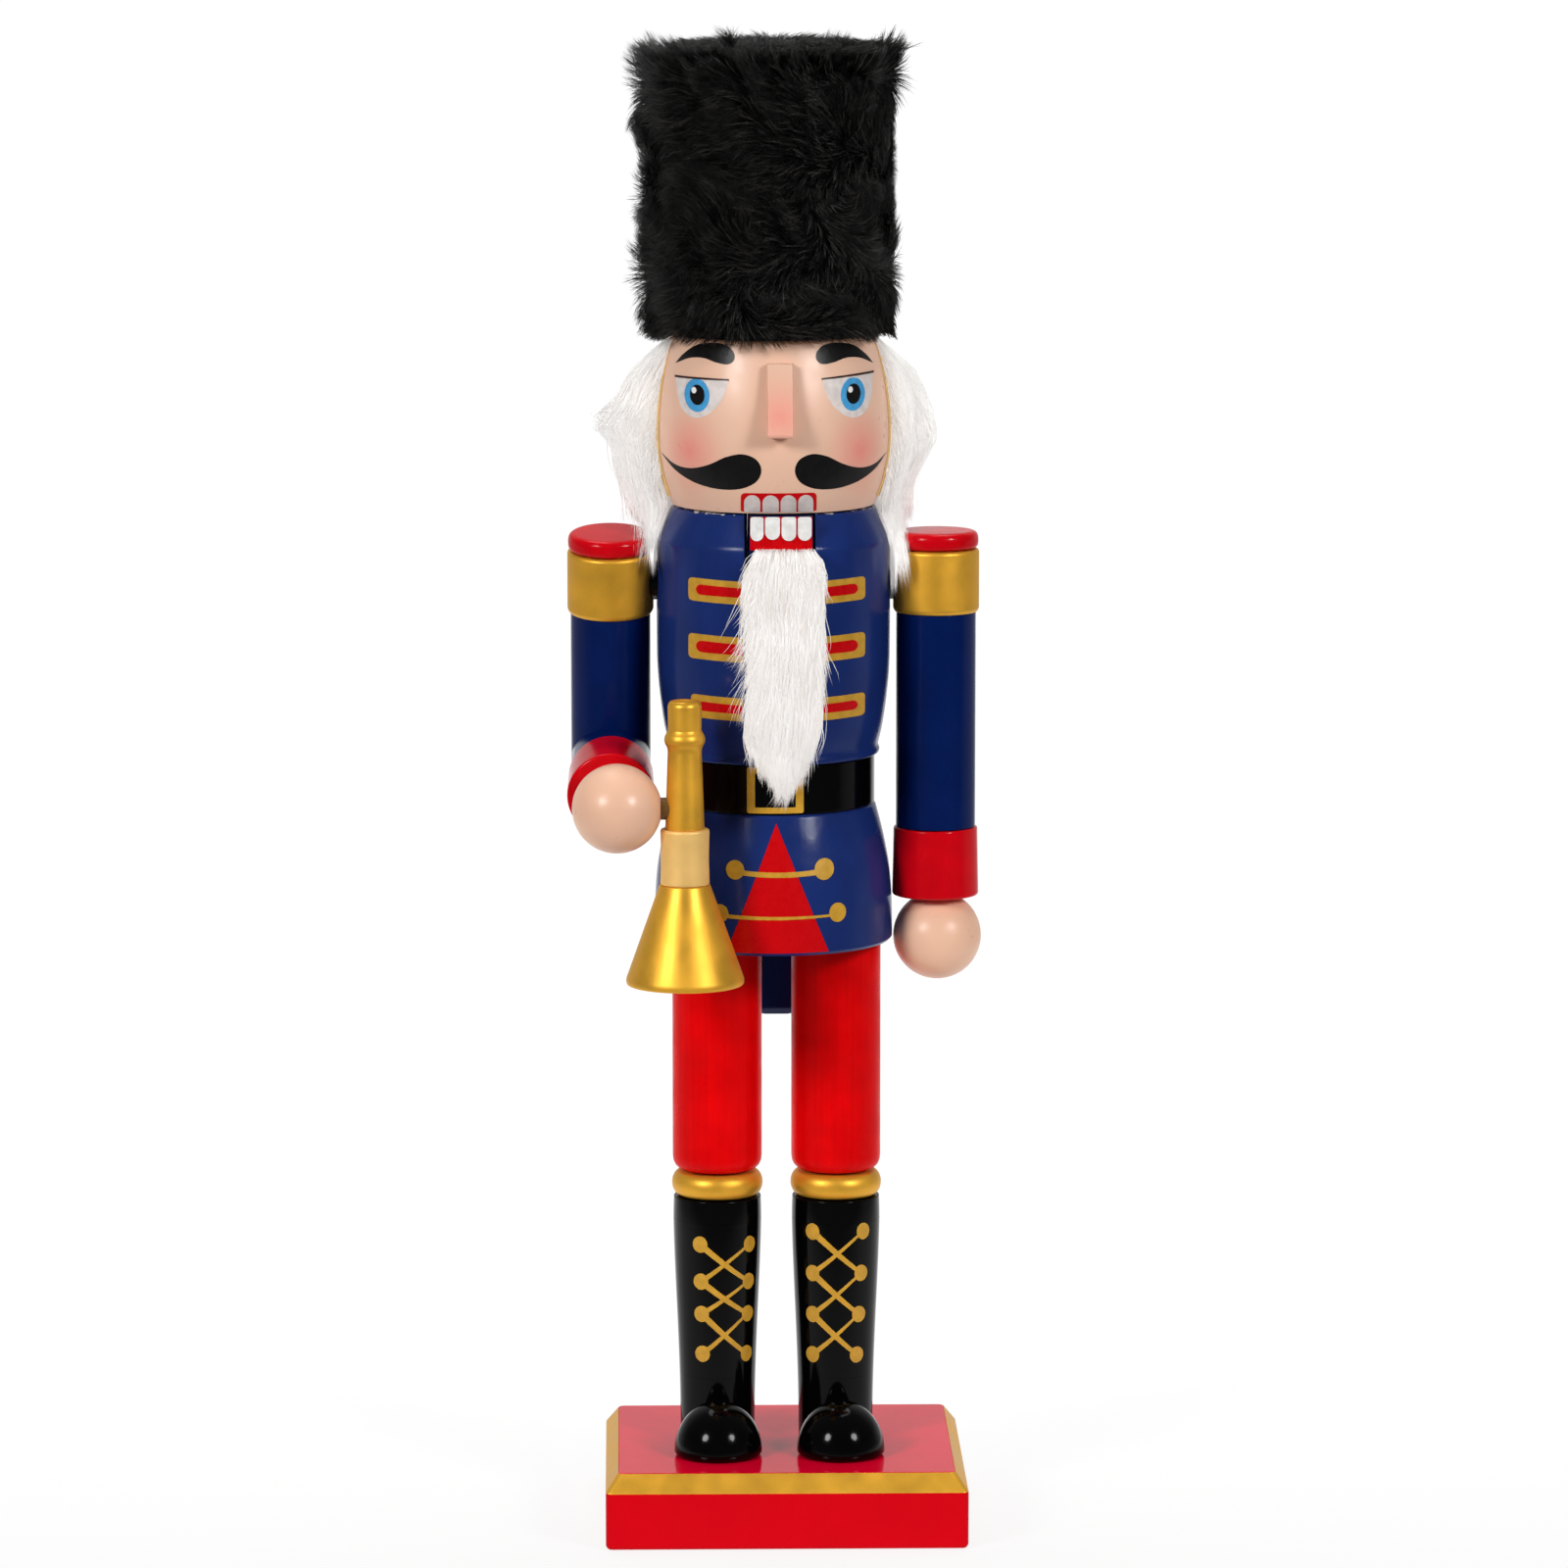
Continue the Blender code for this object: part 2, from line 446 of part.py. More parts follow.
def make_left_arm(paints, shoulder_holes):
    frame = make_arm_frame("left", 1, 0.0)
    make_upper_arm("left", frame, [(SLEEVE_RADIUS, -SLEEVE_END), (SLEEVE_RADIUS, -BAND_HALF - GAP)],
                   shoulder_holes, paints)
    make_cuff_and_hand("left", frame, (0.0, 0.0, -SLEEVE_END - GAP), (180, 0, 0), paints)


def make_right_arm(paints, shoulder_holes):
    """The bent arm: its forearm reaches forward from the elbow and its hand holds the horn."""
    frame = make_arm_frame("right", -1, RIGHT_ARM_TILT)
    elbow_end = arc(0.0, -ELBOW_DROP, SLEEVE_RADIUS, -90, 0, 5)[1:]
    make_upper_arm("right", frame, [(0.0, -ELBOW_DROP - SLEEVE_RADIUS)] + elbow_end
                   + [(SLEEVE_RADIUS, -BAND_HALF - GAP)], shoulder_holes, paints)
    forearm = rod("forearm_right", SLEEVE_RADIUS, 0.5, FOREARM_START_CUFF - GAP, paints["blue"], 28)
    place(forearm, 0.0, 0.0, -ELBOW_DROP, (90, 0, 0), frame)
    saddle = rod("cut_elbow", SLEEVE_RADIUS + GAP, -ELBOW_DROP - 20.0, -ELBOW_DROP + 20.0, segments=28)
    cut(forearm, place(saddle, parent=frame))
    hand = make_cuff_and_hand("right", frame, (0.0, -FOREARM_START_CUFF, -ELBOW_DROP), (90, 0, 0), paints)
    make_horn(frame, hand, paints)


def make_horn(frame, hand, paints):
    """An upright horn beside the right hand, joined to it by a peg along X."""
    tilt = math.radians(RIGHT_ARM_TILT)
    reach = FOREARM_START_CUFF + CUFF_LENGTH + HAND_SET
    hand_y = ELBOW_DROP * math.sin(tilt) - reach * math.cos(tilt)
    hand_z = SHOULDER_Z - ELBOW_DROP * math.cos(tilt) - reach * math.sin(tilt)
    unturn = (Matrix.Translation((-ARM_X * MM, 0, SHOULDER_Z * MM)) @ Matrix.Rotation(tilt, 4, "X")).inverted()

    bell = turned("horn_bell", [(0.0, HORN_RIM_Z + HORN_DISH_DEPTH), (HORN_RIM_RADIUS - 4.0, HORN_RIM_Z + 1.8),
                                (HORN_RIM_RADIUS - 1.2, HORN_RIM_Z), (HORN_RIM_RADIUS, HORN_RIM_Z + 1.0),
                                (HORN_NECK_RADIUS, HORN_BELL_TOP - GAP)], paints["gold"])
    ferrule = turned("horn_ferrule", [(HORN_FERRULE_RADIUS, HORN_BELL_TOP), (HORN_FERRULE_RADIUS - 0.4, 177.0),
                                      (HORN_FERRULE_RADIUS, HORN_FERRULE_TOP - GAP)], paints["gold"], 24)
    tube = turned("horn_tube", [(4.9, HORN_FERRULE_TOP), (4.15, 206.0), (5.1, 206.8), (5.1, 208.2),
                                (4.3, HORN_TUBE_TOP - GAP)], paints["gold"], 24)
    mouthpiece = turned("horn_mouthpiece", [(4.2, HORN_TUBE_TOP), (4.2, HORN_TOP - 0.8), (3.4, HORN_TOP)],
                        paints["gold"], 24)
    for piece in (bell, ferrule, tube, mouthpiece):
        place(piece, HORN_X, hand_y, 0.0, parent=frame)
        piece.matrix_parent_inverse = unturn

    peg_start, peg_end = -ARM_X + HAND_SHIFT["right"] + HAND_RADIUS - 4.0, HORN_X - 1.0
    peg = rod("horn_peg", HORN_PEG_RADIUS, peg_start, peg_end, paints["wood"])
    peg_room = rod("cut_horn_peg", HORN_PEG_RADIUS + GAP, peg_start - GAP, peg_end + GAP)
    for piece in (peg, peg_room):
        place(piece, 0.0, hand_y, hand_z, (0, 90, 0), frame)
        piece.matrix_parent_inverse = unturn
    cut(hand, peg_room)
    cut(tube, peg_room)


def main():
    for old in list(bpy.data.objects):
        bpy.data.objects.remove(old)
    paints = {"wood": material("bare_wood", WOOD, 0.6), "red": material("red_paint", RED, 0.2),
              "blue": material("blue_paint", BLUE, 0.2), "black": material("black_paint", BLACK, 0.12),
              "gold": material("gold_paint", GOLD, 0.3, 0.9), "skin": material("skin_paint", SKIN, 0.3),
              "white": material("white_fur", WHITE, 0.9), "steel": material("steel", STEEL, 0.3, 1.0)}
    make_base(paints)
    hip_holes = [make_leg("right", -1, paints), make_leg("left", 1, paints)]
    chest = make_torso(paints, hip_holes)
    make_jaw(paints, chest)
    head = make_head(paints, chest)
    make_hair(paints)
    make_hat(paints, head)
    make_right_arm(paints, make_shoulder("right", -1, paints, chest))
    make_left_arm(paints, make_shoulder("left", 1, paints, chest))


main()
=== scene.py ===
"""The looks of a wooden toy-soldier nutcracker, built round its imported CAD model.

Lengths are in millimetres up to the point where a mesh is made. The figure faces -Y, +Z is up, and
"right" is the figure's own right side, at -X. Pieces take their places from the boxes of CAD nodes,
and painted shapes and fur are laid out in the figure's own frame.
"""

import json
import math

import bpy
import numpy as np
from mathutils import Matrix, Vector, geometry


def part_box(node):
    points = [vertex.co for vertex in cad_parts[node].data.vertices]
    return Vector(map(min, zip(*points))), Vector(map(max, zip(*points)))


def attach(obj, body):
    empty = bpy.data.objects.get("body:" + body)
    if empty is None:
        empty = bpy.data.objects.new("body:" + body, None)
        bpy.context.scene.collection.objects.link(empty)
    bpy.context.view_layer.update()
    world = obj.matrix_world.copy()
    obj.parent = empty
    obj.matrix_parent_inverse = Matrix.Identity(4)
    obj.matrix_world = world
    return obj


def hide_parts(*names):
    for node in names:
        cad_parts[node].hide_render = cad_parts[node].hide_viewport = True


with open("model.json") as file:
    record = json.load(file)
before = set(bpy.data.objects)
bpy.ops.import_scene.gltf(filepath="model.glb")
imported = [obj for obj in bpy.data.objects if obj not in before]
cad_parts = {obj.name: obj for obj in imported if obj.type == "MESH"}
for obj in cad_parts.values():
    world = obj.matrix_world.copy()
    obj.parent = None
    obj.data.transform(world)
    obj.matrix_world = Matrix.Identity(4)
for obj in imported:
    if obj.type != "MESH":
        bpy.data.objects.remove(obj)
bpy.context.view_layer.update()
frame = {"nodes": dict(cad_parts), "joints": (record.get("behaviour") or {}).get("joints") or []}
MM = 0.001
SIDES = (("right", -1), ("left", 1))
RANDOM = np.random.default_rng(7)

# The camera: its place about the middle of the block, and its lens
CAMERA_AZIMUTH, CAMERA_DISTANCE, CAMERA_HEIGHT = 1.2, 1.93, 0.4762
CAMERA_PITCH, CAMERA_LENS = 8.456, 176.4

# The bent right arm, in the frame of its shoulder
RIGHT_ARM_TILT, ELBOW_DROP, FOREARM_LENGTH, CUFF_LENGTH, HAND_SET = 8.5, 46.3, 17.7, 17.5, 10.5

PAINT_LIFT = 0.08              # how far a painted shape stands off what it is painted on


# ---------------------------------------------------------------- numbers and curves

def span(node):
    """Lowest and highest corner of a CAD node, in millimetres."""
    low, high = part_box(node)
    return np.array(low) / MM, np.array(high) / MM


def smooth_curve(points, steps=6, closed=False):
    """A Catmull-Rom curve through points, as an array."""
    knots = np.array(points, float)
    if closed:
        knots = np.vstack([knots[-1:], knots, knots[:2]])
    else:
        knots = np.vstack([2 * knots[0] - knots[1], knots, 2 * knots[-1] - knots[-2]])
    out = []
    for a, b, c, d in zip(knots, knots[1:], knots[2:], knots[3:]):
        for i in range(steps):
            t = i / steps
            out.append(0.5 * (2 * b + (c - a) * t + (2 * a - 5 * b + 4 * c - d) * t * t
                              + (3 * b - a - 3 * c + d) * t ** 3))
    if not closed:
        out.append(knots[-2])
    return np.array(out)


def arc(centre, radius, start, end, steps=8):
    """Points round a circle or an ellipse; the angles are in degrees."""
    angles = np.radians(np.linspace(start, end, steps + 1))
    rx, rz = radius if isinstance(radius, tuple) else (radius, radius)
    return np.stack([centre[0] + rx * np.cos(angles), centre[1] + rz * np.sin(angles)], 1)


def rounded(points, steps=5):
    """An open outline of (x, z, rounding) corners with each rounding drawn as a curve."""
    out = []
    for i, (x, z, rounding) in enumerate(points):
        here = np.array((x, z), float)
        if rounding == 0 or i in (0, len(points) - 1):
            out.append(here)
            continue
        before, after = np.array(points[i - 1][:2]) - here, np.array(points[i + 1][:2]) - here
        start = here + before / np.linalg.norm(before) * rounding
        end = here + after / np.linalg.norm(after) * rounding
        for t in np.linspace(0, 1, steps + 1):
            out.append((1 - t) ** 2 * start + 2 * t * (1 - t) * here + t * t * end)
    return np.array(out)


# ---------------------------------------------------------------- meshes

def add_piece(name, verts, faces, paints, body, nodes=(), face_paint=None, sharp=34):
    """A mesh from points in millimetres that rides on a body and stands for CAD nodes."""
    mesh = bpy.data.meshes.new(name)
    mesh.from_pydata((np.asarray(verts) * MM).tolist(), [], faces)
    return finish_piece(name, mesh, paints, body, nodes, face_paint, sharp)


def finish_piece(name, mesh, paints, body, nodes=(), face_paint=None, sharp=34):
    for paint in paints if isinstance(paints, (list, tuple)) else [paints]:
        mesh.materials.append(paint)
    if face_paint is not None:
        mesh.polygons.foreach_set("material_index", np.asarray(face_paint, dtype=np.int32))
    mesh.validate()
    mesh.shade_smooth()
    if sharp:
        mesh.set_sharp_from_angle(angle=math.radians(sharp))
    piece = bpy.data.objects.new(name, mesh)
    bpy.context.scene.collection.objects.link(piece)
    if sharp:
        flatten_normals(piece)
    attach(piece, body)
    if nodes:
        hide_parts(*nodes)
    return piece


def lathe(profile, segments=96, centre=(0.0, 0.0)):
    """Points and faces of a solid turned about Z from (radius, height) points, bottom to top."""
    verts, rows = [], []
    for radius, height in profile:
        if radius < 1e-6:
            rows.append([len(verts)])
            verts.append((centre[0], centre[1], height))
            continue
        rows.append(list(range(len(verts), len(verts) + segments)))
        for i in range(segments):
            angle = 2 * math.pi * i / segments
            verts.append((centre[0] + radius * math.cos(angle), centre[1] + radius * math.sin(angle), height))
    faces = []
    if len(rows[0]) > 1:
        faces.append(rows[0][::-1])
    for lower, upper in zip(rows, rows[1:]):
        for i in range(segments):
            j = (i + 1) % segments
            ring = [lower[i % len(lower)], lower[j % len(lower)], upper[j % len(upper)],
                    upper[i % len(upper)]]
            faces.append(list(dict.fromkeys(ring)))
    if len(rows[-1]) > 1:
        faces.append(rows[-1])
    return np.array(verts), faces


def moved(verts, matrix):
    """Points in millimetres turned and moved by a matrix whose translation is in millimetres."""
    m = np.array(matrix)
    return verts @ m[:3, :3].T + m[:3, 3]


class Turning:
    """A turned piece that stands upright: its axis, its profile, and the surface that paint lies on."""

    def __init__(self, node, profile):
        low, high = span(node)
        self.centre = (low[:2] + high[:2]) / 2
        self.profile = np.array(profile, float)
        side = self.profile[np.concatenate([[True], np.diff(self.profile[:, 1]) > 1e-6])]
        self.heights, self.radii = side[:, 1], side[:, 0]

    def radius(self, z):
        return np.interp(z, self.heights, self.radii)

    def front(self, x, z, lift):
        """The point over (x, z) on the side that faces -Y; x is counted from the axis."""
        radius = self.radius(z)
        y = -math.sqrt(max(radius * radius - x * x, 0.01))
        out = (radius + lift) / radius
        return self.centre[0] + x * out, self.centre[1] + y * out, z


def flat_front(x_middle, y):
    return lambda x, z, lift: (x_middle + x, y - lift, z)


def fitted(node, fractions):
    """A profile from (share of radius, share of height, rounding) for an upright CAD node."""
    low, high = span(node)
    radius, height = (high[0] - low[0]) / 2, high[2] - low[2]
    return rounded([(r * radius, low[2] + z * height, q) for r, z, q in fractions])


def subdivided(loop, longest=0.8):
    """A closed outline with points added along its long edges, so that paint bends with the surface."""
    out = []
    for a, b in zip(loop, np.roll(loop, -1, axis=0)):
        steps = max(1, math.ceil(np.linalg.norm(b - a) / longest))
        out += [a + (b - a) * i / steps for i in range(steps)]
    return np.array(out)


def inside(point, loops):
    """Whether a point is inside an outline with holes, by counting crossings."""
    hit = False
    for loop in loops:
        for a, b in zip(loop, np.roll(loop, -1, axis=0)):
            if (a[1] > point[1]) != (b[1] > point[1]):
                if point[0] < a[0] + (b[0] - a[0]) * (point[1] - a[1]) / (b[1] - a[1]):
                    hit = not hit
    return hit


def painted(name, loops, surface, paint, body, lift=PAINT_LIFT, depth=0.12, grid=1.1):
    """A thin closed layer of paint: an outline in (x, z), with holes, laid on a surface."""
    loops = [subdivided(np.array(loop, float)) for loop in loops]
    points, edges = [], []
    for loop in loops:
        start = len(points)
        points += [Vector(p) for p in loop]
        edges += [(start + i, start + (i + 1) % len(loop)) for i in range(len(loop))]
    low, high = loops[0].min(0), loops[0].max(0)
    for x in np.arange(low[0] + grid / 2, high[0], grid):
        for z in np.arange(low[1] + grid / 2, high[1], grid):
            points.append(Vector((x, z)))
    flat, _, faces, *_ = geometry.delaunay_2d_cdt(points, edges, [], 0, 1e-5)
    keep = [f for f in faces if inside(sum((flat[i] for i in f), Vector((0, 0))) / 3, loops)]
    used = sorted({i for f in keep for i in f})
    index = {old: new for new, old in enumerate(used)}
    top = [surface(flat[i].x, flat[i].y, lift) for i in used]
    under = [surface(flat[i].x, flat[i].y, lift - depth) for i in used]
    tris, count = [[index[i] for i in f] for f in keep], len(used)
    border = {(t[i], t[(i + 1) % 3]) for t in tris for i in range(3)}
    rim = [(a, b) for a, b in border if (b, a) not in border]
    flipped = [[i + count for i in reversed(t)] for t in tris]
    solid = tris + flipped + [[b, a, a + count, b + count] for a, b in rim]
    return add_piece(name, np.array(top + under), solid, paint, body)


def flatten_normals(piece):
    """Let the large faces decide the normals, so that flat stretches next to roundings look flat."""
    weighted = piece.modifiers.new("normals", "WEIGHTED_NORMAL")
    weighted.keep_sharp = True
    piece.data = bpy.data.meshes.new_from_object(piece.evaluated_get(bpy.context.evaluated_depsgraph_get()))
    piece.modifiers.clear()


def carve(piece, cutter):
    """Cut one object out of another for good, and remove the cutter."""
    boolean = piece.modifiers.new("cut", "BOOLEAN")
    boolean.object = cutter
    apply_modifiers(piece)
    bpy.data.objects.remove(cutter)


def apply_modifiers(piece, sharp=34):
    shown = bpy.data.meshes.new_from_object(piece.evaluated_get(bpy.context.evaluated_depsgraph_get()))
    piece.modifiers.clear()
    piece.data = shown
    shown.shade_smooth()
    shown.set_sharp_from_angle(angle=math.radians(sharp))
    flatten_normals(piece)


def box_cutter(low, high):
    corners = [(x, y, z) for x in (low[0], high[0]) for y in (low[1], high[1]) for z in (low[2], high[2])]
    faces = [(0, 1, 3, 2), (4, 6, 7, 5), (0, 4, 5, 1), (2, 3, 7, 6), (0, 2, 6, 4), (1, 5, 7, 3)]
    return raw_object(corners, faces)


def raw_object(verts, faces):
    mesh = bpy.data.meshes.new("cutter")
    mesh.from_pydata((np.array(verts) * MM).tolist(), [], faces)
    made = bpy.data.objects.new("cutter", mesh)
    bpy.context.scene.collection.objects.link(made)
    return made


def softened_copy(name, node, width, paints, body, segments=3, foot=0.0):
    """The CAD node's own shape with its edges rounded over, and its lowest rim by more if that is asked."""
    import bmesh
    mesh_data = bmesh.new()
    mesh_data.from_mesh(frame["nodes"][node].data)
    bmesh.ops.remove_doubles(mesh_data, verts=mesh_data.verts, dist=1e-6)
    bmesh.ops.dissolve_limit(mesh_data, angle_limit=math.radians(1.0), verts=mesh_data.verts,
                             edges=mesh_data.edges)
    lowest = min(v.co.z for v in mesh_data.verts)
    middle = (min(v.co.x for v in mesh_data.verts) + max(v.co.x for v in mesh_data.verts)) / 2
    rim = [e for e in mesh_data.edges if foot and len(e.link_faces) == 2
           and e.calc_face_angle() > math.radians(28)
           and all(v.co.z < lowest + 1e-5 and math.hypot(v.co.x - middle, v.co.y) > 30 * MM for v in e.verts)]
    if rim:
        bmesh.ops.bevel(mesh_data, geom=rim, offset=foot * MM, segments=4, profile=0.5, affect="EDGES",
                        clamp_overlap=False)
    edges = [e for e in mesh_data.edges if len(e.link_faces) == 2 and e.calc_face_angle() > math.radians(28)]
    bmesh.ops.bevel(mesh_data, geom=edges, offset=width * MM, segments=segments, profile=0.5, affect="EDGES",
                    clamp_overlap=True)
    mesh = bpy.data.meshes.new(name)
    mesh_data.to_mesh(mesh)
    mesh_data.free()
    return finish_piece(name, mesh, paints, body, [node], sharp=50)


def repaint(nodes, paint):
    """A paint for CAD nodes that are shown as they are."""
    for node in nodes:
        frame["nodes"][node].data.materials[0] = paint


# ---------------------------------------------------------------- fur

def wave_field(rng, count, scale):
    """A smooth random function of a 3-D point, about -1 to 1."""
    waves = rng.normal(size=(count, 3)) / scale
    shifts = rng.uniform(0, 2 * math.pi, count)
    return lambda p: np.sin(p @ waves.T + shifts).sum(-1) / math.sqrt(count / 2)


def strands(name, paths, thickness, tones, body, tone_index, nodes=(), limit=180000):
    """Tapered three-sided hairs along paths (hair, point, xyz), in pieces under the face limit."""
    count, points, _ = paths.shape
    per_hair = (points - 2) * 6 + 4
    batch = max(1, limit // per_hair)
    made = []
    for number, start in enumerate(range(0, count, batch)):
        chunk = paths[start:start + batch]
        tangent = np.gradient(chunk, axis=1)
        tangent /= np.linalg.norm(tangent, axis=2, keepdims=True) + 1e-9
        aside = np.cross(tangent, np.array([0.31, 0.74, 0.6]))
        aside /= np.linalg.norm(aside, axis=2, keepdims=True) + 1e-9
        other = np.cross(tangent, aside)
        share = np.linspace(0, 1, points)[:-1]
        width = thickness[start:start + batch, None] * (1 - 0.75 * share ** 2)[None]
        thirds = (0.0, 2 * math.pi / 3, 4 * math.pi / 3)
        corners = [math.cos(a) * aside[:, :-1] + math.sin(a) * other[:, :-1] for a in thirds]
        rings = [chunk[:, :-1] + width[..., None] * corner for corner in corners]
        body_points = np.stack(rings, 2).reshape(len(chunk), -1, 3)
        verts = np.concatenate([body_points, chunk[:, -1:]], 1)
        size = verts.shape[1]
        faces = [(2, 1, 0)]
        for level in range(points - 2):
            for k in range(3):
                a, b = 3 * level + k, 3 * level + (k + 1) % 3
                faces += [(a, b, b + 3), (a, b + 3, a + 3)]
        last = 3 * (points - 2)
        faces += [(last + k, last + (k + 1) % 3, size - 1) for k in range(3)]
        all_faces = (np.array(faces)[None] + size * np.arange(len(chunk))[:, None, None]).reshape(-1, 3)
        mesh = fast_mesh(f"{name}_{number}", verts.reshape(-1, 3) * MM, all_faces)
        paint = np.repeat(tone_index[start:start + batch], len(faces))
        made.append(finish_piece(f"{name}_{number}", mesh, tones, body, nodes, paint, sharp=None))
    return made


def fast_mesh(name, verts, tris):
    mesh = bpy.data.meshes.new(name)
    mesh.vertices.add(len(verts))
    mesh.vertices.foreach_set("co", verts.astype(np.float32).ravel())
    mesh.loops.add(tris.size)
    mesh.loops.foreach_set("vertex_index", tris.astype(np.int32).ravel())
    mesh.polygons.add(len(tris))
    mesh.polygons.foreach_set("loop_start", np.arange(0, tris.size, 3, dtype=np.int32))
    mesh.update(calc_edges=True)
    return mesh


# ---------------------------------------------------------------- materials

class Nodes:
    """A new material with short ways to add and join its nodes."""

    def __init__(self, name, colour, roughness, metallic=0.0):
        self.material = bpy.data.materials.new(name)
        self.material.use_nodes = True
        self.tree = self.material.node_tree
        self.shader = self.tree.nodes["Principled BSDF"]
        self.set("Base Color", (*colour, 1.0))
        self.set("Roughness", roughness)
        self.set("Metallic", metallic)
        self.place = self.add("ShaderNodeTexCoord").outputs["Object"]

    def add(self, kind, **settings):
        node = self.tree.nodes.new(kind)
        for key, value in settings.items():
            setattr(node, key, value)
        return node

    def set(self, socket, value):
        self.shader.inputs[socket].default_value = value

    def link(self, source, target):
        self.tree.links.new(source, target)
        return target.node

    def noise(self, scale, detail=2.0, stretch=(1, 1, 1)):
        mapping = self.add("ShaderNodeMapping")
        mapping.inputs["Scale"].default_value = [scale * s for s in stretch]
        self.link(self.place, mapping.inputs["Vector"])
        noise = self.add("ShaderNodeTexNoise")
        noise.inputs["Scale"].default_value = 1.0
        noise.inputs["Detail"].default_value = detail
        self.link(mapping.outputs[0], noise.inputs["Vector"])
        return noise.outputs[0]

    def remap(self, value, low, high, to_low=0.0, to_high=1.0):
        node = self.add("ShaderNodeMapRange")
        for socket, number in zip(("From Min", "From Max", "To Min", "To Max"), (low, high, to_low, to_high)):
            node.inputs[socket].default_value = number
        self.link(value, node.inputs["Value"])
        return node.outputs[0]

    def maths(self, operation, first, second):
        node = self.add("ShaderNodeMath", operation=operation)
        for socket, value in zip(node.inputs, (first, second)):
            if isinstance(value, (int, float)):
                socket.default_value = value
            else:
                self.link(value, socket)
        return node.outputs[0]

    def mix(self, share, first, second):
        node = self.add("ShaderNodeMix", data_type="RGBA")
        self.link(share, node.inputs["Factor"])
        for socket, value in ((node.inputs[6], first), (node.inputs[7], second)):
            if isinstance(value, tuple):
                socket.default_value = (*value, 1.0)
            else:
                self.link(value, socket)
        return node.outputs[2]

    def colour(self, source):
        self.link(source, self.shader.inputs["Base Color"])

    def bump(self, *heights):
        """Bumps from (height, distance in metres, strength), one on top of the other."""
        normal = None
        for height, distance, strength in heights:
            node = self.add("ShaderNodeBump")
            node.inputs["Distance"].default_value = distance
            node.inputs["Strength"].default_value = strength
            self.link(height, node.inputs["Height"])
            if normal is not None:
                self.link(normal, node.inputs["Normal"])
            normal = node.outputs[0]
        self.link(normal, self.shader.inputs["Normal"])

    def near(self, point, radius):
        """1 at a point in millimetres, falling to 0 at the radius."""
        node = self.add("ShaderNodeVectorMath", operation="DISTANCE")
        self.link(self.place, node.inputs[0])
        node.inputs[1].default_value = [c * MM for c in point]
        return self.remap(node.outputs["Value"], 0.0, radius * MM, 1.0, 0.0)

    def height(self):
        node = self.add("ShaderNodeSeparateXYZ")
        self.link(self.place, node.inputs[0])
        return node.outputs[2]


def mixed(colour, other, share):
    return tuple(a + (b - a) * share for a, b in zip(colour, other))


def scaled(colour, factor):
    return tuple(min(1.0, c * factor) for c in colour)


def lacquer(name, colour, roughness=0.16, specular=0.3, streaks=0.1, pale_flecks=(), ripple=0.3, cloudy=1.0):
    """Gloss paint on turned wood: cloudy coverage, faint grain along Z, orange peel, and pale flecks in bands
    at given heights.
    """
    m = Nodes(name, colour, roughness)
    m.set("Specular IOR Level", specular)
    cloud = m.remap(m.noise(90, 3), 0.3, 0.7)
    grain = m.remap(m.noise(900, 4, (1, 1, 0.03)), 0.35, 0.75)
    base = m.mix(cloud, scaled(colour, 1 - 0.1 * cloudy), scaled(colour, 1 + 0.12 * cloudy))
    base = m.mix(m.maths("MULTIPLY", grain, streaks), base, scaled(colour, 0.5))
    # pale flecks in a narrow band round each given height
    for height, width in pale_flecks:
        off = m.maths("ABSOLUTE", m.maths("SUBTRACT", m.height(), height * MM), 0.0)
        band = m.remap(off, 0.0, width * MM, 1.0, 0.0)
        flake = m.maths("GREATER_THAN", m.maths("MULTIPLY", band, m.remap(m.noise(420, 4), 0.38, 0.62)), 0.52)
        base = m.mix(flake, base, (0.62, 0.58, 0.52))
    m.colour(base)
    m.link(m.remap(m.noise(160, 3), 0.3, 0.7, roughness * 0.8, roughness * 1.3), m.shader.inputs["Roughness"])
    m.bump((m.noise(260, 2), 0.00012, ripple), (grain, 0.00003, 0.35))
    return m.material


def metallic_paint(name, colour, roughness=0.44, metallic=0.62):
    """Satin gold paint: fine metal flake and brush marks."""
    m = Nodes(name, colour, roughness, metallic)
    flake = m.remap(m.noise(3200, 2), 0.3, 0.7)
    cloud = m.remap(m.noise(120, 3), 0.3, 0.7)
    base = m.mix(cloud, scaled(colour, 0.88), scaled(colour, 1.08))
    m.colour(m.mix(m.maths("MULTIPLY", flake, 0.2), base, mixed(colour, (1, 0.8, 0.3), 0.3)))
    m.link(m.remap(cloud, 0, 1, roughness * 0.88, roughness * 1.15), m.shader.inputs["Roughness"])
    m.bump((flake, 0.00002, 0.25), (m.noise(300, 2), 0.00008, 0.2))
    return m.material


def hand_paint(name, colour, roughness=0.35, specular=0.3, uneven=1.0):
    """Thin paint put on with a small brush."""
    m = Nodes(name, colour, roughness)
    m.set("Specular IOR Level", specular)
    cloud = m.remap(m.noise(500, 3), 0.3, 0.7)
    m.colour(m.mix(cloud, scaled(colour, 1 - 0.12 * uneven), scaled(colour, 1 + 0.1 * uneven)))
    m.link(m.remap(cloud, 0, 1, roughness * 0.85, roughness * 1.15), m.shader.inputs["Roughness"])
    m.bump((m.noise(1400, 2, (1, 1, 0.3)), 0.00004, 0.3))
    return m.material


